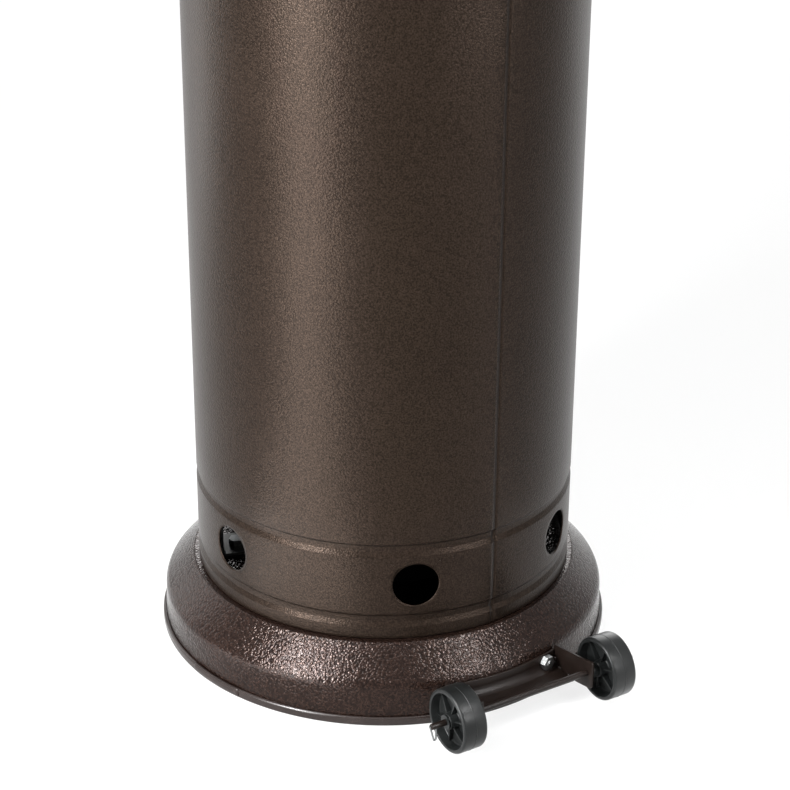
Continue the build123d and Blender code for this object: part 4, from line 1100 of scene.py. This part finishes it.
def threaded_rod(length):
    """Rod along Z with fine ridges over its last part."""
    points = [(0, 0), (bolt_radius, 0)]
    ridges = int(length / thread_pitch) - 1
    for number in range(ridges):
        low = length - (ridges - number) * thread_pitch
        points.append((bolt_radius, low))
        points.append((bolt_radius - thread_depth, low + thread_pitch / 2))
    points += [(bolt_radius - thread_depth, length - 0.5 * mm), (bolt_radius - 1.1 * mm, length), (0, length)]
    return turned(points, steps=32)


nuts, bolts = [], []
for side in (-1, 1):
    angle = pi / 2 + side * bolt_angle
    facing = Vector((cos(angle), sin(angle), skirt_lean)).normalized()
    base = Vector((skirt_at(bolt_height) * cos(angle), skirt_at(bolt_height) * sin(angle), bolt_height))
    nut = hex_nut()
    swing(nut, radians(12 + 9 * side))
    nuts.append(lay_along(nut, facing, base + facing * nut_seat))
    under = base_sheet + plate_gap
    head = hex_nut()
    bmesh.ops.translate(head, verts=head.verts, vec=(0, 0, -nut_height))
    rod = join(threaded_rod(under + nut_seat + nut_height + bolt_tail), head)
    bolts.append(lay_along(rod, facing, base - facing * under))
piece("bracket_hex_nuts", join(*nuts), zinc, "frame", ["bracket_nuts"], sharp=25)
piece("bracket_hex_bolts", join(*bolts), zinc, "frame", ["bracket_bolts"], sharp=25)

# %% [markdown]
# Above the picture comes the part of the heater that every owner knows: a drum of perforated stainless sheet
# that glows when the burner is lit. Its holes are real. One cell with an eight-sided hole is made by bridging
# a square to a circle, a column of copies is stacked, and the column is spun round without joining faces.

# %% Perforated emitter drum
screen_low, screen_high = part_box("emitter_screen")
screen_radius = screen_high.x
hole_columns, hole_rows = 66, 29
hole_radius = 3.0 * mm
foot_band, head_band = 14 * mm, 19 * mm
cell_half = screen_radius * tan(pi / hole_columns)
cell_height = (screen_high.z - screen_low.z - foot_band - head_band) / hole_rows

cell = bmesh.new()
bmesh.ops.create_grid(cell, x_segments=2, y_segments=2, size=1.0)
bmesh.ops.scale(cell, vec=(cell_half, cell_height / 2, 1), verts=cell.verts)
bmesh.ops.delete(cell, geom=[v for v in cell.verts if v.co.length < 1e-6], context="VERTS")
bmesh.ops.delete(cell, geom=cell.faces[:], context="FACES_ONLY")
bmesh.ops.create_circle(cell, segments=8, radius=hole_radius)
bmesh.ops.bridge_loops(cell, edges=cell.edges[:])
bmesh.ops.transform(cell, matrix=Matrix.Translation((screen_radius, 0, 0)) @ side_on, verts=cell.verts)
cell_geometry = cell.verts[:] + cell.edges[:] + cell.faces[:]
first_height = screen_low.z + foot_band + cell_height / 2
for row in range(1, hole_rows):
    copy = bmesh.ops.duplicate(cell, geom=cell_geometry)
    bmesh.ops.translate(cell, verts=of_kind(copy["geom"], BMVert), vec=(0, 0, row * cell_height))
bmesh.ops.translate(cell, verts=cell.verts, vec=(0, 0, first_height))
for low, high in ((screen_low.z, screen_low.z + foot_band), (screen_high.z - head_band, screen_high.z)):
    strip = bmesh.new()
    size = Matrix.Diagonal((1, cell_half, (high - low) / 2, 1))
    place = Matrix.Translation((screen_radius, 0, (high + low) / 2))
    bmesh.ops.create_grid(strip, x_segments=2, y_segments=1, size=1.0, matrix=place @ size @ side_on)
    cell = join(cell, strip)
bmesh.ops.spin(
    cell,
    geom=cell.verts[:] + cell.edges[:] + cell.faces[:],
    cent=(0, 0, 0),
    axis=(0, 0, 1),
    dvec=(0, 0, 0),
    angle=tau,
    steps=hole_columns,
    use_duplicate=True,
)
for vert in cell.verts:
    vert.co.xy = vert.co.xy.normalized() * screen_radius
bmesh.ops.remove_doubles(cell, verts=cell.verts, dist=0.02 * mm)
bmesh.ops.recalc_face_normals(cell, faces=cell.faces)
piece("perforated_drum", turn_out(cell), stainless, "frame", ["emitter_screen"], wall=1.1 * mm)

# %% [markdown]
# A plain pressed lid closes the drum. Its outline is open, so Solidify gives it the sheet's thickness.

# %% Emitter cap
cap_low, cap_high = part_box("emitter_cap")
cap_sheet = 1.5 * mm
cap_outline = [(0, cap_high.z), (cap_high.x, cap_high.z), (cap_high.x, cap_low.z)]
cap_shape = turned(cap_outline, [0, 2.2 * mm, 0], steps=128)
piece("emitter_lid", turn_out(cap_shape), stainless, "frame", ["emitter_cap"], wall=cap_sheet)

# %% [markdown]
# The reflector is spun from one aluminium disc: flat in the middle, then an arc that falls to a rolled rim.
# The arc is swept by spinning one point about the arc's own centre, and the whole outline is then spun about
# the post. The roll at the rim is a ring of its own, so that the sheet's wall stays even.

# %% Spun reflector
dome_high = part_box("reflector_dome")[1]
flat_radius, dome_drop, bead_radius = 75 * mm, 124 * mm, 3.5 * mm
edge_radius = dome_high.x - bead_radius
arc_run = edge_radius - flat_radius
arc_radius = (arc_run**2 + dome_drop**2) / (2 * dome_drop)
arc_angle = asin(arc_run / arc_radius)
dome_shape = bmesh.new()
crown = dome_shape.verts.new((0, 0, dome_high.z))
shoulder = dome_shape.verts.new((flat_radius, 0, dome_high.z))
dome_shape.edges.new((crown, shoulder))
bmesh.ops.spin(
    dome_shape,
    geom=[shoulder],
    cent=(flat_radius, 0, dome_high.z - arc_radius),
    axis=(0, 1, 0),
    angle=arc_angle,
    steps=28,
    use_merge=False,
)
print("reflector falls to", round(min(v.co.z for v in dome_shape.verts), 4), "m at the rim")
spin_round(dome_shape, 160)
tidy_faces(dome_shape)
for face in dome_shape.faces:
    if face.normal.z < 0:
        face.normal_flip()
dome_sheet = 1.2 * mm
piece(
    "spun_reflector", dome_shape, spun_aluminium, "frame", ["reflector_dome"], dome_sheet
)

rim_shape = bmesh.new()
rim_place = Matrix.Translation((edge_radius, 0, dome_high.z - dome_drop)) @ Matrix.Rotation(pi / 2, 4, "X")
bmesh.ops.create_circle(rim_shape, segments=14, radius=bead_radius, matrix=rim_place)
spin_round(rim_shape, 160)
tidy_faces(rim_shape)
piece("reflector_rim", rim_shape, spun_aluminium, "frame")

# %% [markdown]
# The control panel has no words. Plain marks round the knob show how far the gas is open, from a short stroke
# to a long one, and one stroke on the knob's grip points at them.

# %% Marks on panel and knob
panel_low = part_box("control_bezel")[0]
knob_low, knob_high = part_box("control_knob")
knob_x = (knob_low.x + knob_high.x) / 2
knob_z = (knob_low.z + knob_high.z) / 2
mark_count, mark_ring, mark_width, mark_height = 7, 24.5 * mm, 0.9 * mm, 0.5 * mm
marks = []
for number in range(mark_count):
    turn = pi * number / (mark_count - 1)
    length = (2.0 + 0.5 * number) * mm
    stroke = bmesh.new()
    place = Matrix.Translation((knob_x, panel_low.y, knob_z)) @ Matrix.Rotation(turn - pi / 2, 4, "Y")
    reach = Matrix.Translation((0, -0.1 * mm, mark_ring + length / 2))
    size = Matrix.Diagonal((mark_width, mark_height, length, 1))
    bmesh.ops.create_cube(stroke, size=1.0, matrix=place @ reach @ size)
    marks.append(stroke)
piece("panel_marks", join(*marks), white_mark, "frame")

pointer = bmesh.new()
size = Matrix.Diagonal((1.2 * mm, mark_height, 11 * mm, 1))
place = Matrix.Translation((knob_x, knob_low.y - 0.05 * mm, knob_z + 12 * mm))
bmesh.ops.create_cube(pointer, size=1.0, matrix=place @ size)
piece("knob_pointer", pointer, white_mark, "knob")

# %% [markdown]
# All other pieces keep the shape of the construction model, which is already right for them. Each takes the
# finish that its record names, so that nothing is left in plain grey.

# %% Finishes for the remaining nodes
slot_finish = {
    "bronze_paint": bronze,
    "edge_trim": trim_finish,
    "bracket_paint": bracket_finish,
    "wheel_plastic": wheel_finish,
    "zinc_steel": zinc,
    "leg_steel": strap_finish,
    "cylinder_paint": tank_paint_dark_as_shade,
    "valve_brass": brass,
    "regulator_alloy": alloy,
    "black_plastic": black,
    "hose_rubber": rubber,
    "stainless": stainless,
    "ceramic": ceramic,
    "reflector_aluminium": spun_aluminium,
}
dressed = 0
for subpart in frame["record"]["subparts"]:
    node = nodes[subpart["node"]]
    finish = slot_finish[subpart["material_slot"]]
    if not node.material_slots:
        node.data.materials.append(finish.material)
    for holder in node.material_slots:
        holder.material = finish.material
    dressed += 1
print("nodes dressed:", dressed)
